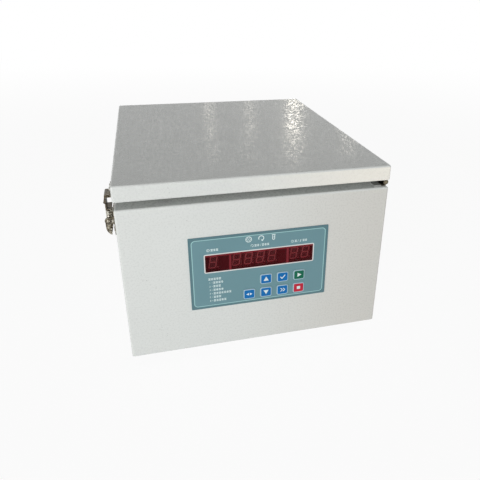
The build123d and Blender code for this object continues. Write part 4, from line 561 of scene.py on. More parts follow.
def turned_metal(name, shade, roughness, ring_depth, blast_depth):
    """Rings about the rotor's axis, on flats and walls alike, over a blasted grain."""
    finish = Finish(name, Metallic=1.0)
    x, y, z = finish.xyz()
    off_x, off_y = x - axis_place.x, y - axis_place.y
    radius = (off_x * off_x + off_y * off_y) ** 0.5
    along = finish.node("ShaderNodeCombineXYZ", None, radius, z, 0.0)
    rings = finish.noise(1400.0, 2.0, 0.6, vector=along)
    broad = finish.noise(90.0, 2.0, vector=along)
    cloud = finish.noise(22.0, 3.0)
    tone = finish.mix(broad, tinted(shade, 0.93), tinted(shade, 1.05))
    tone = finish.mix(cloud.rising(0.3, 0.8) * 0.3, tone, tinted(shade, 0.85))
    skin = finish.bump(rings, ring_depth)
    skin = finish.bump(finish.noise(2600.0, 1.0), blast_depth, over=skin)
    roughness = roughness - 0.07 + 0.14 * rings + 0.08 * cloud
    return finish.done(Base_Color=tone, Roughness=roughness, Normal=skin)


stainless = turned_metal(
    "stainless", colour(196, 198, 200), 0.26, ring_depth=0.008 * MM, blast_depth=0.003 * MM
)
anodised = turned_metal(
    "anodised", colour(186, 189, 193), 0.4, ring_depth=0.01 * MM, blast_depth=0.02 * MM
)
shaft_steel = turned_metal(
    "shaft_steel", colour(178, 178, 180), 0.24, ring_depth=0.006 * MM, blast_depth=0.002 * MM
)
print("rings about", [round(v / MM, 1) for v in axis_place.xy], "mm")

# %% [markdown]
# Galvanised sheet shows large frosty crystals, each of its own tone. Drawn tube and
# wire have none, and darken in patches instead.

# %% Sheet, tube and wire


def rolled_sheet(name, shade, roughness, spangle=120.0):
    """Galvanised sheet: large frosty crystals of slightly different tone."""
    finish = Finish(name, Metallic=1.0)
    crystal = finish.cells(spangle, "Color")
    bright = finish.node("ShaderNodeRGBToBW", None, crystal)
    tone = finish.mix(bright, tinted(shade, 0.84), tinted(shade, 1.12))
    skin = finish.bump(finish.noise(900.0, 2.0), 0.01 * MM)
    return finish.done(Base_Color=tone, Roughness=roughness + 0.18 * bright, Normal=skin)


def drawn_metal(name, shade, roughness, tarnish):
    """Drawn tube or wire with patches of tarnish."""
    finish = Finish(name, Metallic=1.0)
    patch = finish.noise(85.0, 4.0, 0.65).rising(0.42, 0.7)
    tone = finish.mix(patch * 0.7, shade, tarnish)
    skin = finish.bump(finish.noise(1500.0, 2.0), 0.01 * MM)
    return finish.done(Base_Color=tone, Roughness=roughness + 0.2 * patch, Normal=skin)


galvanised = rolled_sheet("galvanised", colour(176, 180, 183), roughness=0.34)
fin_metal = rolled_sheet("fin_metal", colour(196, 198, 200), roughness=0.3, spangle=300.0)
copper = drawn_metal("copper", colour(206, 128, 92), 0.26, tarnish=colour(120, 66, 44))
guard_wire = drawn_metal("guard_wire", colour(198, 200, 202), 0.18, tarnish=colour(132, 134, 136))
pin_metal = drawn_metal("pin_metal", colour(204, 200, 186), 0.2, tarnish=colour(150, 142, 120))
print("sheet, tube and wire ready")

# %% [markdown]
# The latch is cheap plate that has gone brown, with bright worn spots that also stand
# for painted glints; its claw and catch get a darker copy, a painted shade by the lid's
# edge. The hinge leaves are a darker grey than the case, a painted shade of the gap
# under the lid, and only the knuckles are bare, so a mask along x changes that grey to
# dark zinc where the knuckles begin.

# %% Latch and hinge metal


def spotted_plate(name, wear_and_glints, light):
    """Cheap plated latch metal, gone brown in patches, with worn bright spots that are also painted
    glints.
    """
    finish = Finish(name, Metallic=1.0)
    cloud = finish.noise(240.0, 4.0, 0.65)
    dull = finish.mix(cloud.rising(0.38, 0.6), colour(46, 39, 30), light)
    flecks = finish.noise(1100.0, 2.0, 0.6).rising(0.55, 0.63)
    worn = finish.noise(430.0, 2.0).rising(0.57, 0.65)
    bright = (0.6 * flecks).at_least(0.9 * worn) * wear_and_glints
    tone = finish.mix(bright, dull, colour(218, 213, 198))
    skin = finish.bump(finish.noise(1400.0, 2.0), 0.012 * MM)
    return finish.done(Base_Color=tone, Roughness=0.4 - 0.14 * bright, Normal=skin)


# The latch's bright spots are worn plate and painted glints at once. The claw and catch copy is
# darker: a painted shade by the lid's edge.
latch_metal = spotted_plate("latch_metal", wear_and_glints=1.0, light=colour(124, 116, 97))
shaded_latch_metal = spotted_plate("shaded_latch_metal", wear_and_glints=0.35, light=colour(88, 78, 62))
KNUCKLE_WALL = 4.5 * MM
SEAM_BLUR = 0.2 * MM
# Knuckle zinc, darkened partly as painted shade of the gap under the lid.
SHADED_KNUCKLE = colour(112, 105, 90)


def hinge_leaf():
    """A leaf in a grey darker than the case paint, a painted shade of the gap under the lid, with
    bare zinc where the knuckles rub, darkened partly as painted shade.
    """
    finish = Finish("hinge_finish")
    x, _, _ = finish.xyz()
    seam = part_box("hinge_pin")[0].x - KNUCKLE_WALL
    bare = x.rising(seam - SEAM_BLUR, seam + SEAM_BLUR)
    darker_patches = finish.noise(420.0, 4.0, 0.7).rising(0.5, 0.7)
    metal = finish.mix(darker_patches, SHADED_KNUCKLE, tinted(SHADED_KNUCKLE, 0.35))
    # The leaf's grey is darker than the case paint: a painted shade of the gap under the lid.
    tone = finish.mix(bare, colour(158, 160, 157), metal)
    grain = finish.bump(finish.noise(GRAIN_PER_METRE, 1.0), 0.04 * MM)
    roughness = 0.42 - 0.1 * bare + 0.1 * darker_patches
    return finish.done(Base_Color=tone, Roughness=roughness, Metallic=bare, Normal=grain)


hinge_finish = hinge_leaf()
print("latch and hinge metal ready")

# %% [markdown]
# What is inside is seen through the vents and when the lid is open: a green circuit
# board with its tracks, rigid foam, a black enamelled compressor and the layers of
# the motor's steel. Each has a pattern of its own.

# %% Inside finishes


def circuit_board():
    """Green solder resist over tracks, which run along and across in blocks."""
    finish = Finish("circuit_board", IOR=1.5)
    tracks = finish.node(
        "ShaderNodeTexBrick",
        {"offset": 0.35, "squash": 1.6},
        Vector=finish.stretched((260.0, 140.0, 260.0)),
        Scale=1.0,
        Mortar_Size=0.07,
        output="Fac",
    )
    pads = 1.0 - finish.cells(260.0).rising(0.14, 0.2)
    tone = finish.mix(tracks, colour(14, 92, 52), colour(34, 122, 66))
    tone = finish.mix(pads, tone, colour(196, 192, 170))
    skin = finish.bump(tracks.at_least(pads), 0.04 * MM)
    roughness = 0.3 + 0.2 * pads
    return finish.done(Base_Color=tone, Roughness=roughness, Metallic=pads * 0.8, Normal=skin)


def rigid_foam():
    """Cast foam with open cells of two sizes."""
    finish = Finish("foam", Specular_IOR_Level=0.2)
    large = finish.cells(420.0)
    small = finish.cells(1300.0)
    tone = finish.mix(large, colour(196, 178, 128), colour(226, 212, 168))
    skin = finish.bump(large, 0.3 * MM)
    skin = finish.bump(small, 0.1 * MM, over=skin)
    return finish.done(Base_Color=tone, Roughness=0.82 + 0.1 * small, Normal=skin)


def black_enamel():
    """Thick dipped enamel with runs and dust."""
    finish = Finish("black_enamel", Coat_Weight=0.4, Coat_Roughness=0.1)
    dust = finish.noise(55.0, 4.0, 0.7).rising(0.5, 0.8)
    tone = finish.mix(dust * 0.25, colour(22, 22, 24), colour(120, 116, 108))
    runs = finish.noise(1.0, 2.0, vector=finish.stretched((150.0, 150.0, 25.0)))
    skin = finish.bump(runs, 0.3 * MM)
    return finish.done(Base_Color=tone, Roughness=0.28 + 0.3 * dust, Normal=skin)


LAYERS_PER_METRE = 900.0


def stacked_steel():
    """Thin layers of motor steel, stacked upwards."""
    finish = Finish("laminations", Metallic=0.9)
    _, _, z = finish.xyz()
    wave = (z * (2 * pi * LAYERS_PER_METRE)).sine() * 0.5 + 0.5
    tone = finish.mix(wave, colour(66, 62, 60), colour(150, 148, 146))
    worn = finish.noise(130.0, 3.0)
    skin = finish.bump(wave, 0.1 * MM)
    return finish.done(Base_Color=tone, Roughness=0.35 + 0.2 * worn, Normal=skin)


board_green = circuit_board()
foam = rigid_foam()
enamel = black_enamel()
laminations = stacked_steel()
liner_paint = painted_sheet("liner_paint", lid_low, lid_high, colour(228, 229, 226))
print("inside finishes ready")

# %% [markdown]
# A CAD node whose shape is right keeps it and only gets its finish. The list says
# which finish goes on which nodes. The digit modules and the latch springs aren't in
# it, because they are shaped again, and the keys, screws and rivets get their finish
# where they are spoken of.

# %% Finishes on the CAD nodes
FINISHES = [
    (case_paint, ["case_shell", "rear_panel"]),
    (lid_paint, ["lid_shell"]),
    (liner_paint, ["lid_liner"]),
    (galvanised, ["base_plate", "motor_mount_plate", "motor_housing", "board_standoffs"]),
    (rubber, ["rubber_feet", "rubber_dampers", "shaft_seal"]),
    (gasket_rubber, ["lid_gasket"]),
    (foam, ["lid_insulation", "insulation_jacket"]),
    (hinge_finish, ["hinge_case_leaf", "hinge_lid_leaf"]),
    (zinc, ["hinge_pin"]),
    (latch_metal, ["latch_base", "latch_pivot_pins", "latch_lever", "latch_yoke"]),
    (shaded_latch_metal, ["latch_claw", "latch_catch"]),
    (overlay_film, ["keypad_overlay"]),
    (red_glass, ["display_window"]),
    (board_green, ["control_board", "power_board"]),
    (stainless, ["bowl"]),
    (anodised, ["rotor"]),
    (shaft_steel, ["motor_shaft", "rotor_nut", "motor_bearings", "lid_magnet"]),
    (laminations, ["motor_stator", "motor_armature"]),
    (copper, ["evaporator_coil", "condenser_tube", "refrigerant_lines"]),
    (fin_metal, ["condenser_fins"]),
    (enamel, ["compressor"]),
    (black_plastic, [
        "fan_frame", "fan_rotor", "mains_inlet", "power_switch_frame", "key_switches", "lid_sensor",
    ]),
    (gloss_black, ["power_rocker"]),
    (guard_wire, ["fan_guard"]),
]


def dress(node, material):
    """Puts one finish on a CAD node."""
    slots = nodes[node].data.materials
    slots.clear()
    slots.append(material)


for material, names in FINISHES:
    for name in names:
        dress(name, material)
print(sum(len(names) for _, names in FINISHES), "CAD nodes dressed")

# %% [markdown]
# Soft studio light: one large lamp stands low in front, so the front is lighter than
# the lid, as in the photograph. A lamp behind and one on the right, both lower than
# the lid, fill those sides and don't show in gloss. Four narrow strips behind the
# object are what the glossy lid mirrors as broken upright streaks: each is given as
# its place to the right, its width and its watts.

# %% Lamps
AIM = (0, 0, 0.1)
FILL_HEIGHT = 0.11
FILL_SIZE = 0.2
STREAK_PLACE = (2.5, 0.82)
STREAK_HEIGHT = 0.42
STREAK_AIM = (0.3, 0.25)
STREAK_TINT = (1, 0.94, 0.82)
STREAKS = [(0.30, 0.05, 0.12), (0.56, 0.05, 0.11), (0.87, 0.09, 0.72), (1.3, 0.14, 0.46)]


def lamp(name, place, size, watts, aim=AIM, tint=(1, 1, 1)):
    """A rectangular lamp that the camera doesn't see."""
    data = bpy.data.lights.new(name, "AREA")
    data.shape = "RECTANGLE"
    data.size, data.size_y = size
    data.energy = watts
    data.color = tint
    obj = in_scene(name, data)
    turn = (Vector(aim) - Vector(place)).to_track_quat("-Z", "Y").to_matrix().to_4x4()
    obj.matrix_world = Matrix.Translation(place) @ turn
    obj.visible_camera = False
    return obj


lamp("front lamp", place=(-1.25, -2.1, 0.6), size=(1.7, 1.0), watts=39.0)
back_lamp = lamp("back lamp", place=(0.3, 2.5, FILL_HEIGHT), size=(1.8, FILL_SIZE), watts=20.0)
side_lamp = lamp("side lamp", place=(2.3, 0.35, FILL_HEIGHT), size=(0.9, FILL_SIZE), watts=17.0)
back_lamp.visible_glossy = side_lamp.visible_glossy = False
for number, (x, width, watts) in enumerate(STREAKS):
    size = (width, STREAK_HEIGHT)
    aim = (x * STREAK_AIM[0], 0, STREAK_AIM[1])
    lamp(f"streak {number + 1}", (x, *STREAK_PLACE), size, watts, aim, STREAK_TINT)

# %% [markdown]
# White behind the object comes from the world. Light Path tells which rays ask: those
# of the camera, of gloss and through glass see plain white, and all others a quarter
# of it, which only softens the shadows.

# %% World
WORLD_LEVEL = 0.24
WHITE = (1.0, 1.0, 1.0, 1.0)


def seen_directly(web):
    """1 for rays from the camera, through glass or from gloss."""
    rays = web.node("ShaderNodeLightPath")
    from_camera, from_gloss, through_glass = web.outputs(
        rays, "Is Camera Ray", "Is Glossy Ray", "Is Transmission Ray"
    )
    return from_camera.at_least(from_gloss).at_least(through_glass)


def blend_shaders(web, factor, first, second, end):
    """Mixes two shaders into the tree's end node."""
    mixed = web.node("ShaderNodeMixShader", None, factor, first, second)
    web.connect(mixed, web.tree.nodes[end].inputs["Surface"])


world = bpy.data.worlds.new("studio")
bpy.context.scene.world = world
world.use_nodes = True
air = Web(world.node_tree)
room = air.tree.nodes["Background"]
air.give(room, {"Strength": WORLD_LEVEL, "Color": WHITE})
backdrop = air.node("ShaderNodeBackground", Strength=1.0, Color=WHITE)
room_light = Signal(air, room.outputs["Background"])
blend_shaders(air, seen_directly(air), room_light, backdrop, "World Output")
print("world level", WORLD_LEVEL)

# %% [markdown]
# The floor is white paper. Most of its look comes from a glow that only the camera,
# gloss and glass see, and all of it far from the object, so it meets the white
# backdrop without an edge. The rest is ordinary diffuse paper, which keeps the shadow
# under the object.

# %% Floor
FLOOR_SIZE = 24.0
PAPER = (0.86, 0.86, 0.86, 1)
FLOOR_GLOW = 0.93
GLOW_REACH = (0.8, 2.6)

floor_mesh = bpy.data.meshes.new("floor")
half = FLOOR_SIZE / 2
corners = [(-half, -half, 0), (half, -half, 0), (half, half, 0), (-half, half, 0)]
floor_mesh.from_pydata(corners, [], [(0, 1, 2, 3)])
floor = in_scene("floor", floor_mesh)
paper = Finish("floor_paper", Base_Color=PAPER, Roughness=0.9, Specular_IOR_Level=0.1)
glow = paper.node("ShaderNodeEmission", Strength=1.0)
length = {"operation": "LENGTH"}
distance = paper.node("ShaderNodeVectorMath", length, paper.place(), output="Value")
share = seen_directly(paper) * distance.rising(*GLOW_REACH, low=FLOOR_GLOW)
diffuse_paper = Signal(paper, paper.surface.outputs["BSDF"])
blend_shaders(paper, share, diffuse_paper, glow, "Material Output")
floor_mesh.materials.append(paper.material)
print("floor", FLOOR_SIZE, "metres wide")

# %% [markdown]
# Every piece that is added ends in the same way: its faces are turned outwards, its
# edges stay sharp where the faces meet at a clear angle, and it gets a finish, a body
# to ride on and a material slot.

# %% Finished pieces
SMOOTH_BELOW = radians(38)


def as_mesh(name, shape):
    """A bmesh made into a mesh, with its faces turned outwards."""
    bmesh.ops.recalc_face_normals(shape, faces=shape.faces)
    mesh = bpy.data.meshes.new(name)
    shape.to_mesh(mesh)
    shape.free()
    return mesh


def piece(name, mesh, body, material):
    """A finished piece from a mesh: smoothing, finish and body."""
    mesh.polygons.foreach_set("use_smooth", [True] * len(mesh.polygons))
    mesh.set_sharp_from_angle(angle=SMOOTH_BELOW)
    mesh.materials.clear()
    mesh.materials.append(material)
    obj = in_scene(name, mesh)
    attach(obj, body)
    return obj


print("smooth below", round(SMOOTH_BELOW, 2), "radians")

# %% [markdown]
# Small shapes start as outlines, which are lists of points in the plane of the front.
# A disc is a whole circle, and a rounded rectangle has a quarter of one at each
# corner, so both are made of the same arcs.

# %% Outlines


def around(centre, radius, turn):
    """The point on a circle at a turn, in degrees."""
    angle = radians(turn)
    return (centre[0] + radius * cos(angle), centre[1] + radius * sin(angle))


def arc(centre, radius, start, end, steps):
    """Points along a circle from one turn to another."""
    turns = [start + (end - start) * step / steps for step in range(steps + 1)]
    return [around(centre, radius, turn) for turn in turns]


def disc(centre, radius, steps=16):
    """A circle as (x, z) points."""
    return arc(centre, radius, 0, 360, steps)[:-1]


def rounded(centre, width, height, corner, steps=2):
    """A rounded rectangle in the plane of the front, as (x, z) points."""
    points = []
    for turn, (side, level) in enumerate(((1, 1), (-1, 1), (-1, -1), (1, -1))):
        x = centre[0] + side * (width / 2 - corner)
        z = centre[1] + level * (height / 2 - corner)
        points += arc((x, z), corner, 90 * turn, 90 * turn + 90, steps)
    return points


print("rounded outline", len(rounded((0, 0), 2, 1, 0.1)), "points")

# %% [markdown]
# An outline becomes a solid as a stack: neighbouring outlines are joined by faces,
# and the ends are capped. A plate is a stack of two. A line of ink is a ribbon, a row
# of plates that share mitred corners.

# %% Solids from outlines


def stack(shape, loops):
    """Joins outlines given as ((x, z) points, y) and caps both ends."""
    rows = [[shape.verts.new((x, y, z)) for x, z in points] for points, y in loops]
    count = len(rows[0])
    for lower, upper in zip(rows, rows[1:]):
        for number in range(count):
            after = (number + 1) % count
            shape.faces.new((lower[number], lower[after], upper[after], upper[number]))
    for row in (rows[0], rows[-1]):
        shape.faces.new(row)


def plate(shape, points, front, back):
    """A flat piece of ink or trim with the outline's shape."""
    stack(shape, [(points, back), (points, front)])


def ribbon(shape, points, width, front, back, closed=False):
    """A line of even width along points, mitred at its corners."""
    count = len(points)
    sides = []
    for number, point in enumerate(points):
        here = Vector(point)
        before = Vector(points[number - 1]) if number or closed else None
        after = Vector(points[(number + 1) % count]) if number < count - 1 or closed else None
        steps = [(here - before).normalized()] if before is not None else []
        steps += [(after - here).normalized()] if after is not None else []
        along = (steps[0] + steps[-1]).normalized()
        across = Vector((-along.y, along.x))
        reach = width / 2 / max(0.5, across.dot(Vector((-steps[0].y, steps[0].x))))
        sides.append((here + across * reach, here - across * reach))
    last = count if closed else count - 1
    for number in range(last):
        (a, b), (c, d) = sides[number], sides[(number + 1) % count]
        plate(shape, [a, b, d, c], front, back)


print("stacks, plates and ribbons ready")

# %% [markdown]
# A plain number starts as a text object. Only a mesh can be given a thickness and
# laid on a slope, so the text is turned into one, welded and drawn out, and then
# added to the piece that it belongs to.

# %% Numbers


def add(shape, part, matrix):
    """Adds one bmesh to another, where the matrix puts it."""
    part.transform(matrix)
    mesh = bpy.data.meshes.new("part")
    part.to_mesh(mesh)
    part.free()
    shape.from_mesh(mesh)
    bpy.data.meshes.remove(mesh)


def add_number(shape, text, height, matrix, depth):
    """Adds a plain number of some thickness, centred in its own plane."""
    curve = bpy.data.curves.new("number", "FONT")
    curve.body = text
    curve.size = height
    curve.align_x = "CENTER"
    curve.align_y = "CENTER"
    curve.resolution_u = 3
    holder = in_scene("number", curve)
    mesh = bpy.data.meshes.new_from_object(holder)
    bpy.data.objects.remove(holder)
    bpy.data.curves.remove(curve)
    number = bmesh.new()
    number.from_mesh(mesh)
    bpy.data.meshes.remove(mesh)
    bmesh.ops.remove_doubles(number, verts=number.verts, dist=1e-6)
    raised = bmesh.ops.extrude_face_region(number, geom=list(number.faces))
    moved = [v for v in raised["geom"] if isinstance(v, bmesh.types.BMVert)]
    bmesh.ops.translate(number, verts=moved, vec=(0, 0, depth))
    add(shape, number, matrix)


print("numbers ready")

# %% [markdown]
# The panel's signs are ink printed on the film. They are thin shapes half sunk in the
# film, and their places are measured in millimetres from the middle of the panel.

# %% Ink on the panel
INK_PROUD = 0.05 * MM
ink_front, ink_back = panel_low.y - INK_PROUD, panel_low.y + INK_PROUD


def on_panel(x, z):
    """A place in millimetres from the panel's middle, as metres."""
    return (panel.x + x * MM, panel.z + z * MM)


def line(shape, points, width, closed=False):
    """A printed line, with points and width in millimetres on the panel."""
    ribbon(shape, [on_panel(*point) for point in points], width * MM, ink_front, ink_back, closed)


def spot(shape, x, z, radius):
    plate(shape, disc(on_panel(x, z), radius * MM), ink_front, ink_back)


def patch(shape, x, z, width, height, corner=0.2):
    outline = rounded(on_panel(x, z), width * MM, height * MM, corner * MM)
    plate(shape, outline, ink_front, ink_back)


print("ink stands", round(INK_PROUD / MM, 2), "mm proud")

# %% [markdown]
# Signs stand for words: a rotor seen from above, a turning arrow, a tube, a clock and
# a thermometer. Each is drawn from its size alone, so the same function serves a
# large sign in the title and a small one over the digits.

# %% Signs
SLASH_WIDTH = 0.32


def ring_sign(shape, x, z, size):
    """A rotor from above: a ring with its tubes around the middle."""
    line(shape, arc((x, z), size * 0.45, 0, 345, 23), size * 0.11, closed=True)
    for number in range(6):
        spot(shape, *around((x, z), size * 0.27, 60 * number), size * 0.075)
    spot(shape, x, z, size * 0.08)


def turn_sign(shape, x, z, size):
    """An arrow that goes most of the way round."""
    radius = size * 0.4
    line(shape, arc((x, z), radius, -60, 210, 22), size * 0.13)
    head = ((1.0, -92), (1.55, -60), (0.45, -60))
    corners = [around((x, z), radius * reach, turn) for reach, turn in head]
    plate(shape, [on_panel(*corner) for corner in corners], ink_front, ink_back)


def tube_sign(shape, x, z, size):
    """A small tube with a cap and a level line."""
    half, top, low = size * 0.17, size * 0.3, -size * 0.28
    bottom = arc((x, z + low), half, 180, 360, 6)
    line(shape, [(x - half, z + top)] + bottom + [(x + half, z + top)], size * 0.12)
    patch(shape, x, z + top + size * 0.1, size * 0.56, size * 0.13)
    patch(shape, x, z - size * 0.02, size * 0.3, size * 0.08, 0.05)


def clock_sign(shape, x, z, size):
    line(shape, arc((x, z), size * 0.42, 0, 340, 17), size * 0.11, closed=True)
    line(shape, [(x, z + size * 0.25), (x, z), (x + size * 0.2, z)], size * 0.11)


def heat_sign(shape, x, z, size):
    """A thermometer."""
    patch(shape, x, z + size * 0.1, size * 0.16, size * 0.6, 0.1)
    spot(shape, x, z - size * 0.28, size * 0.19)
    for step in range(3):
        level = z + size * (0.3 - 0.15 * step)
        patch(shape, x + size * 0.26, level, size * 0.16, size * 0.07, 0.02)


def slash(shape, x, z, size):
    """A slanted stroke between two signs."""
    half_width, half_height = size * 0.18, size * 0.45
    ends = [(x - half_width, z - half_height), (x + half_width, z + half_height)]
    line(shape, ends, SLASH_WIDTH)


print("signs ready")

# %% [markdown]
# The title is three large signs. Below it, small signs and rows of blocks label the
# groups of digits, and a numbered list of blocks fills the left. A block is three
# bars, which look like small print from afar. All of it is one piece.

# %% Titles and list
SIGN = 7.2
SIGN_PITCH = 14.2
SIGN_SHIFT = 0.9
TITLE_HEIGHT = 37.6
LABEL_HEIGHT = 29.3
LABEL_SIGN = 3.5
LABEL_SIGNS = (
    (ring_sign, -58.4), (turn_sign, -9.4), (slash, 0.2),
    (clock_sign, 37.2), (slash, 43.8), (heat_sign, 46.5),
)
LABEL_BLOCKS = ((-55.6, 3), (-6.8, 2), (1.7, 3), (39.8, 1), (49.0, 2))
LIST_LEFT = -59.4
LIST_TOP = -7.5
LIST_PITCH = 4.77
LIST_NUMBER = 3.1
LIST_DASH = (0.9, 0.5)
LIST_BLOCKS = (4, 3, 4, 7, 3, 5)
LIST_TITLE_BLOCKS = 5
LIST_SHIFT = 2.2
BLOCK = 2.5
BLOCK_PITCH = 2.95
SHORT_BAR = 0.7
BAR_PITCH = 1.0
BAR_HEIGHT = 0.65
BAR_CORNER = 0.1


def blocks(shape, left, z, count):
    """A row of small printed blocks, each of three bars."""
    for number in range(count):
        for level in (-1, 0, 1):
            width = BLOCK * (1.0 if (number + level) % 2 else SHORT_BAR)
            x = left + BLOCK / 2 + number * BLOCK_PITCH
            patch(shape, x, z + level * BAR_PITCH, width, BAR_HEIGHT, BAR_CORNER)


def printed_signs():
    shape = bmesh.new()
    for draw, place in ((ring_sign, -1), (turn_sign, 0), (tube_sign, 1)):
        draw(shape, place * SIGN_PITCH + SIGN_SHIFT, TITLE_HEIGHT, SIGN)
    for draw, x in LABEL_SIGNS:
        draw(shape, x, LABEL_HEIGHT, LABEL_SIGN)
    for left, count in LABEL_BLOCKS:
        blocks(shape, left, LABEL_HEIGHT, count)
    blocks(shape, LIST_LEFT, LIST_TOP, LIST_TITLE_BLOCKS)
    for row, count in enumerate(LIST_BLOCKS):
        z = LIST_TOP - LIST_PITCH * (row + 1)
        x, level = on_panel(LIST_LEFT + LIST_NUMBER / 2, z)
        upright = Matrix.Translation((x, ink_back, level)) @ Matrix.Rotation(pi / 2, 4, "X")
        add_number(shape, str(row + 1), LIST_NUMBER * MM, upright, 2 * INK_PROUD)
        dash_x = LIST_LEFT + LIST_NUMBER + LIST_DASH[0]
        patch(shape, dash_x, z, *LIST_DASH, BAR_CORNER)
        blocks(shape, LIST_LEFT + LIST_NUMBER + LIST_SHIFT, z, count)
    return piece("panel_signs", as_mesh("panel_signs", shape), "case", ink)


panel_signs = printed_signs()
print("panel signs", len(panel_signs.data.polygons), "faces")

# %% [markdown]
# What repeats is made with Geometry Nodes. A tree stands a shape on every point of a
# mesh, turns the copies into real mesh, because an export drops instances, and gives
# them their finish. Where the shape comes from is a small function of its own: here
# it is a piece named in the tree's input, and further down a spring wound from sizes.

# %% Copies on points


def points_tree(name, asked, shape_of):
    """A tree with its asked inputs: points in, a real mesh of shapes out."""
    tree = bpy.data.node_groups.new(name, "GeometryNodeTree")
    asked = {"Points": "NodeSocketGeometry", **asked, "Finish": "NodeSocketMaterial"}
    for socket, kind in asked.items():
        tree.interface.new_socket(name=socket, in_out="INPUT", socket_type=kind)
    tree.interface.new_socket(name="Result", in_out="OUTPUT", socket_type="NodeSocketGeometry")
    start, spread, realize, finish, end = [tree.nodes.new(kind) for kind in (
        "NodeGroupInput",
        "GeometryNodeInstanceOnPoints",
        "GeometryNodeRealizeInstances",
        "GeometryNodeSetMaterial",
        "NodeGroupOutput",
    )]
    link = tree.links.new
    link(start.outputs["Points"], spread.inputs["Points"])
    link(shape_of(tree, start.outputs), spread.inputs["Instance"])
    link(spread.outputs["Instances"], realize.inputs["Geometry"])
    link(realize.outputs["Geometry"], finish.inputs["Geometry"])
    link(start.outputs["Finish"], finish.inputs["Material"])
    link(finish.outputs["Geometry"], end.inputs["Result"])
    return tree


def given_piece(tree, inputs):
    """The shape of the object in the tree's Piece input."""
    info = tree.nodes.new("GeometryNodeObjectInfo")
    tree.links.new(inputs["Piece"], info.inputs["Object"])
    return info.outputs["Geometry"]


def applied(tree, mesh, inputs):
    """Runs a node tree over a mesh once and returns the plain mesh it gives."""
    holder = in_scene("holder", mesh)
    modifier = holder.modifiers.new("nodes", "NODES")
    modifier.node_group = tree
    for item in tree.interface.items_tree:
        if item.in_out == "INPUT" and item.name in inputs:
            modifier[item.identifier] = inputs[item.name]
    bpy.context.view_layer.update()
    evaluated = holder.evaluated_get(bpy.context.evaluated_depsgraph_get())
    result = bpy.data.meshes.new_from_object(evaluated)
    bpy.data.objects.remove(holder)
    return result


copies = points_tree("copies_on_points", {"Piece": "NodeSocketObject"}, given_piece)


def copies_of(shape, places, finish):
    """Copies of a bmesh, built around its own zero, at each place."""
    master = in_scene("single", as_mesh("single", shape))
    points = bpy.data.meshes.new("points")
    points.from_pydata(places, [], [])
    result = applied(copies, points, {"Piece": master, "Finish": finish})
    bpy.data.objects.remove(master)
    return result


print("copies tree", len(copies.nodes), "nodes")

# %% [markdown]
# A seven-segment module is a moulded block with a raised border and seven clear bars
# set into its face. Unlit bars still show, as a paler brick red. The bars and the module
# faces both carry a faint painted glow, which keeps them evenly lit in the shade behind
# the filter. Each bar is a long hexagon, and the whole figure leans by ten degrees.

# %% Digits
digits_low, digits_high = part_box("led_digits")
DIGIT_PLACES = (-52.6, -26.3, -12.7, 0.9, 14.5, 40.4, 54.0)
DIGIT_SIZE = (12.6, 18.4)
DIGIT_CORNER = 0.3
DIGIT_CHAMFER = 0.1
GLYPH = (7.4, 14.0)
GLYPH_DEPTH = 0.06
GLYPH_SHIFT = 0.4
STROKE = 1.2
LEAN = 0.17
BAR_GAP = 0.14
BORDER = 0.55
BORDER_DEPTH = 0.2
POINT_PLACE = (5.3, -6.6)
POINT_RADIUS = 0.66


def bar(start, end):
    """One segment: a long hexagon from start to end, leaning, in millimetres."""
    first, last = Vector(start), Vector(end)
    along = (last - first).normalized()
    across = Vector((-along.y, along.x)) * STROKE / 2
    first, last = first + along * BAR_GAP, last - along * BAR_GAP
    near, far = first + along * STROKE / 2, last - along * STROKE / 2
    outline = [first, near - across, far - across, last, far + across, near + across]
    return [((p.x + p.y * LEAN) * MM, p.y * MM) for p in outline]


def segment_shape():
    """The seven bars and the point, with their faces at zero depth."""
    half, top = GLYPH[0] / 2, GLYPH[1] / 2
    outlines = [bar((-half, level), (half, level)) for level in (-top, 0, top)]
    for side in (-half, half):
        outlines += [bar((side, low_end), (side, low_end + top)) for low_end in (-top, 0)]
    outlines.append(disc([place * MM for place in POINT_PLACE], POINT_RADIUS * MM))
    shape = bmesh.new()
    for outline in outlines:
        plate(shape, outline, -GLYPH_DEPTH * MM, GLYPH_DEPTH * MM)
    return shape


def digit_outline(inset):
    """The module's outline, taken in by some millimetres all round."""
    width, height = [(size - 2 * inset) * MM for size in DIGIT_SIZE]
    return rounded((0, 0), width, height, DIGIT_CORNER * MM)


def digit_block():
    """The module: its face sunk inside a border, and its body behind."""
    shape = bmesh.new()
    stack(shape, [
        (digit_outline(0), digits_high.y - digits_low.y),
        (digit_outline(0), DIGIT_CHAMFER * MM),
        (digit_outline(DIGIT_CHAMFER), 0.0),
        (digit_outline(BORDER), 0.0),
        (digit_outline(BORDER), BORDER_DEPTH * MM),
    ])
    return shape


digits_level = middle("led_digits").z
places = [(panel.x + x * MM, digits_low.y, digits_level) for x in DIGIT_PLACES]
blocks_mesh = copies_of(digit_block(), places, digit_face)
digit_blocks = piece("digit_blocks", blocks_mesh, "case", digit_face)
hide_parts("led_digits")
places = [(x - GLYPH_SHIFT * MM, y + BORDER_DEPTH * MM, z) for x, y, z in places]
bars_mesh = copies_of(segment_shape(), places, digit_segment)
digit_bars = piece("digit_bars", bars_mesh, "case", digit_segment)
print(len(DIGIT_PLACES), "digits", len(digit_bars.data.polygons), "faces in their bars")

# %% [markdown]
# Each key is a coloured cap whose raised rim carries a pale painted highlight. The cap's
# shape is right in the CAD model, so it stays, and the painted highlight is a mask
# around each key's own middle.

# %% Key caps
KEY_RIM = 0.95 * MM
KEY_CORNER = 2.5 * MM
KEY_RIM_HIGHLIGHT = colour(176, 205, 218)
KEY_SHADES = {
    "key_blue": colour(0, 108, 178),
    "key_green": colour(0, 98, 72),
    "key_red": colour(192, 34, 58),
}


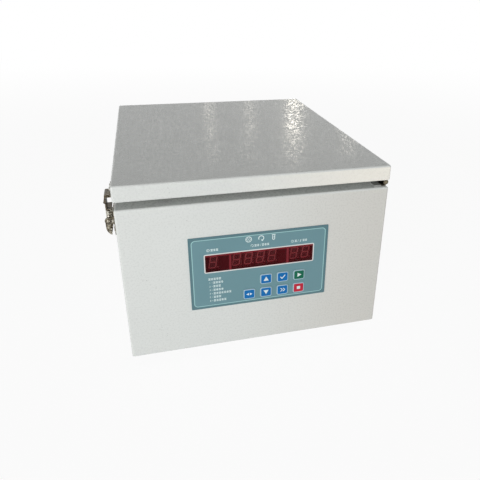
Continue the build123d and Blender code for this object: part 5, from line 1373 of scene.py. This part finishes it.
def key_cap(node, shade):
    """A coloured field inside a pale rim of painted highlight, around the middle of a key."""
    low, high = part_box(node)
    finish = Finish(node + "_cap", Specular_IOR_Level=0.25)
    x, _, z = finish.xyz()
    centre = middle(node)
    half = (high - low) / 2 - Vector((KEY_RIM, 0, KEY_RIM))
    edge = outside(x, z, (centre.x, centre.z), half.x, half.z, KEY_CORNER - KEY_RIM)
    # Painted highlight along the key's raised rim.
    rim = past(edge, 0.0)
    cloud = finish.noise(140.0, 3.0)
    field = finish.mix(cloud, tinted(shade, 0.88), tinted(shade, 1.1))
    tone = finish.mix(rim, field, KEY_RIM_HIGHLIGHT)
    skin = finish.bump(finish.noise(3800.0, 1.0), 0.01 * MM)
    touched = finish.noise(220.0, 3.0, 0.6)
    return finish.done(Base_Color=tone, Roughness=0.3 + 0.14 * touched, Normal=skin)


print("key rim", round(KEY_RIM / MM, 2), "mm")

# %% [markdown]
# The sign on a key is white and a little raised, so it is a thin shape that rides on
# the same body and goes in with the key. Each is a list of outlines around the key's
# middle, in millimetres.

# %% Key signs
SYMBOL = 5.4
SYMBOL_PROUD = 0.03 * MM


def triangle(x, z, size, turn):
    """An arrow head that points up when the turn is zero, in degrees."""
    turned = Matrix.Rotation(radians(turn), 2)
    corners = [turned @ Vector(corner) for corner in ((0, 0.5), (-0.5, -0.4), (0.5, -0.4))]
    return [(x + size * corner.x, z + size * corner.y) for corner in corners]


def square(size):
    half = size / 2
    return [(-half, -half), (half, -half), (half, half), (-half, half)]


def tick(size):
    """A tick as one closed outline."""
    thick = size * 0.13
    path = [(-0.42, 0.02), (-0.12, -0.32), (0.44, 0.36)]
    upper = [(a * size, b * size + thick) for a, b in path]
    lower = [(a * size, b * size - thick) for a, b in path]
    return lower + upper[::-1]


def chevron(x, size):
    """One forward chevron."""
    thick = size * 0.24
    path = [(x - size * 0.2, size * 0.42), (x + size * 0.18, 0), (x - size * 0.2, -size * 0.42)]
    return path[::-1] + [(a + thick, b) for a, b in path]


KEY_SIGNS = {
    "select": [triangle(-1.9, 0, SYMBOL * 0.62, 90), triangle(1.9, 0, SYMBOL * 0.62, -90)],
    "up": [triangle(0, 0, SYMBOL * 1.15, 0)],
    "down": [triangle(0, 0, SYMBOL * 1.15, 180)],
    "confirm": [tick(SYMBOL * 1.2)],
    "boost": [chevron(-1.7, SYMBOL), chevron(1.2, SYMBOL)],
    "start": [triangle(0.3, 0, SYMBOL, -90)],
    "stop": [square(SYMBOL * 0.74)],
}
KEY_SLOTS = {"start": "key_green", "stop": "key_red"}
for name, outlines in KEY_SIGNS.items():
    node = "key_" + name
    slot = KEY_SLOTS.get(name, "key_blue")
    dress(node, key_cap(node, KEY_SHADES[slot]))
    centre = middle(node)
    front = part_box(node)[0].y
    shape = bmesh.new()
    for outline in outlines:
        points = [(centre.x + a * MM, centre.z + b * MM) for a, b in outline]
        plate(shape, points, front - SYMBOL_PROUD, front + SYMBOL_PROUD)
    piece(node + "_sign", as_mesh(node + "_sign", shape), node, ink)
print(len(KEY_SIGNS), "keys")

# %% [markdown]
# The latch pulls the lid down through two small springs. A wound spring follows a
# rule, a wire along a helix, so the tree's second shape is made from sizes: a round
# section swept along a spiral curve. It stands on a point at the foot of each rod.

# %% Latch springs
springs_low, springs_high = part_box("latch_springs")
SPRING_TURNS = 9.0
SPRING_WIRE = 0.5 * MM
WIRE_SIDES = 10
STEPS_PER_TURN = 26
spring_radius = (springs_high.x - springs_low.x) / 2 - SPRING_WIRE
spring_x = (springs_low.x + springs_high.x) / 2
spring_reach = spring_radius + SPRING_WIRE
spring_ys = (springs_low.y + spring_reach, springs_high.y - spring_reach)
spring_length = springs_high.z - springs_low.z - 2 * SPRING_WIRE


def wound_wire(tree, inputs):
    """A round wire along a spiral, from the tree's sizes."""
    spiral, section, wire = [tree.nodes.new(kind) for kind in (
        "GeometryNodeCurveSpiral",
        "GeometryNodeCurvePrimitiveCircle",
        "GeometryNodeCurveToMesh",
    )]
    spiral.inputs["Resolution"].default_value = STEPS_PER_TURN
    section.inputs["Resolution"].default_value = WIRE_SIDES
    wire.inputs["Fill Caps"].default_value = True
    link = tree.links.new
    link(inputs["Turns"], spiral.inputs["Rotations"])
    link(inputs["Radius"], spiral.inputs["Start Radius"])
    link(inputs["Radius"], spiral.inputs["End Radius"])
    link(inputs["Length"], spiral.inputs["Height"])
    link(inputs["Wire"], section.inputs["Radius"])
    link(spiral.outputs["Curve"], wire.inputs["Curve"])
    link(section.outputs["Curve"], wire.inputs["Profile Curve"])
    return wire.outputs["Mesh"]


spring_wire = plated("spring_wire", colour(206, 203, 192), 0.17, patch=1400.0, yellow=0.12)
points = bpy.data.meshes.new("spring_points")
points.from_pydata([(spring_x, y, springs_low.z + SPRING_WIRE) for y in spring_ys], [], [])
spring_sizes = {
    "Turns": SPRING_TURNS,
    "Radius": spring_radius,
    "Length": spring_length,
    "Wire": SPRING_WIRE,
}
sockets = {name: "NodeSocketFloat" for name in spring_sizes}
spring_tree = points_tree("wound_springs", sockets, wound_wire)
springs_mesh = applied(spring_tree, points, {**spring_sizes, "Finish": spring_wire})
wound_springs = piece("wound_springs", springs_mesh, "claw", spring_wire)
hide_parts("latch_springs")
print("springs", len(springs_mesh.polygons), "faces")

# %% [markdown]
# The screws keep their CAD shape, a domed head with a cross slot, and so do the plain
# heads of the rivets. All get bright zinc. The rotor is a turned block whose wells are
# numbered one to twelve on its sloping shoulder, so that tubes can be balanced in
# pairs. Each number is thin ink on the slope: the matrix that places it has the
# slope's own right, up and outward directions as its columns.

# %% Fasteners and rotor numbers
for node in ("case_screws", "case_rivets", "lid_rivets"):
    dress(node, screw_zinc)

WELLS = 12
NUMBER_SIZE = 6.4 * MM
SHOULDER_TOP = (51.0, 168.0)
SHOULDER_FOOT = (70.0, 145.2)
NUMBER_DOWN = 0.36
NUMBER_SUNK = 0.12 * MM
NUMBER_THICKNESS = 0.18 * MM
marking = moulded("marking", colour(34, 36, 40), roughness=0.5, grain=2400, depth=0.004 * MM)


def rotor_numbers():
    """The numbers one to twelve around the rotor's shoulder."""
    shape = bmesh.new()
    run = Vector((SHOULDER_FOOT[0] - SHOULDER_TOP[0], SHOULDER_FOOT[1] - SHOULDER_TOP[1]))
    place = Vector(SHOULDER_TOP) + run * NUMBER_DOWN
    slope = run.normalized()
    for number in range(WELLS):
        angle = 2 * pi * number / WELLS
        out = Vector((cos(angle), sin(angle), 0))
        up = (-slope.x * out + Vector((0, 0, -slope.y))).normalized()
        normal = (-slope.y * out + Vector((0, 0, slope.x))).normalized()
        right = up.cross(normal)
        matrix = Matrix((right, up, normal)).transposed().to_4x4()
        foot = Vector((axis_place.x, axis_place.y, place.y * MM))
        matrix.translation = foot + out * place.x * MM - normal * NUMBER_SUNK
        add_number(shape, str(number + 1), NUMBER_SIZE, matrix, NUMBER_THICKNESS)
    return piece("rotor_numbers", as_mesh("rotor_numbers", shape), "spindle", marking)


rotor_number_marks = rotor_numbers()
print("rotor numbers", len(rotor_number_marks.data.polygons), "faces")

# %% [markdown]
# At the back, the mains inlet's three blades are nickel, so a thin sleeve with a
# chamfered tip goes over each moulded pin.

# %% Inlet blades
inlet_middle = middle("mains_inlet")
BLADE_ROOT = 167.2 * MM
BLADE_TIP = 177.9 * MM
BLADE = (2.16 * MM, 4.16 * MM)
BLADE_CORNER = 0.25 * MM
TIP = (1.26 * MM, 3.26 * MM)
TIP_CORNER = 0.2 * MM
TIP_LENGTH = 0.8 * MM
BLADE_PLACES = ((-7.0, -2.0), (7.0, -2.0), (0.0, 2.0))


def blades():
    """Three blades, each with a chamfered tip."""
    shape = bmesh.new()
    for x, z in BLADE_PLACES:
        centre = (inlet_middle.x + x * MM, inlet_middle.z + z * MM)
        full = rounded(centre, *BLADE, BLADE_CORNER)
        tip = rounded(centre, *TIP, TIP_CORNER)
        stack(shape, [(full, BLADE_ROOT), (full, BLADE_TIP - TIP_LENGTH), (tip, BLADE_TIP)])
    return piece("inlet_blades", as_mesh("inlet_blades", shape), "case", pin_metal)


inlet_blades = blades()
print("blades", len(BLADE_PLACES))

# %% [markdown]
# The rocker carries the two usual marks, a bar for on and a ring for off, cut as thin
# inlays that ride with it. The rocker's two faces slope away from its middle, so each
# mark is made flat, leaned onto its face and then tilted with the rocker.

# %% Rocker marks
ROCKER_PIVOT = (-73.25, 179.2, 164.0)
ROCKER_REST_TILT = 7.0
ROCKER_VALLEY = 1.6
ROCKER_END = 3.2
ROCKER_HALF = 8.0
MARK_PLACE = 4.7
MARK_SIZE = 3.4
MARK_PROUD = 0.04
ON_BAR = 0.7
ON_CORNER = 0.15
OFF_RING = (0.42, 0.6)


def rocker_marks():
    """On and off marks on the two faces of the rocker."""
    slope = atan2(ROCKER_END - ROCKER_VALLEY, ROCKER_HALF)
    out = ROCKER_VALLEY + (ROCKER_END - ROCKER_VALLEY) * MARK_PLACE / ROCKER_HALF
    shape = bmesh.new()
    for side in (1, -1):
        single = bmesh.new()
        if side > 0:
            outline = rounded((0, 0), ON_BAR * MM, MARK_SIZE * MM, ON_CORNER * MM)
            plate(single, outline, -MARK_PROUD * MM, MARK_PROUD * MM)
        else:
            circle = arc((0, 0), MARK_SIZE * OFF_RING[0] * MM, 0, 345, 23)
            width = OFF_RING[1] * MM
            ribbon(single, circle, width, -MARK_PROUD * MM, MARK_PROUD * MM, closed=True)
        lean = Matrix.Rotation(-side * slope, 4, "X")
        at = Matrix.Translation((0, out * MM, side * MARK_PLACE * MM))
        rest = Matrix.Rotation(radians(ROCKER_REST_TILT), 4, "X")
        pivot = Matrix.Translation(Vector(ROCKER_PIVOT) * MM)
        add(shape, single, pivot @ rest @ at @ lean)
    return piece("rocker_marks", as_mesh("rocker_marks", shape), "rocker", ink)


rocker_inlays = rocker_marks()
print("rocker marks", len(rocker_inlays.data.polygons), "faces")
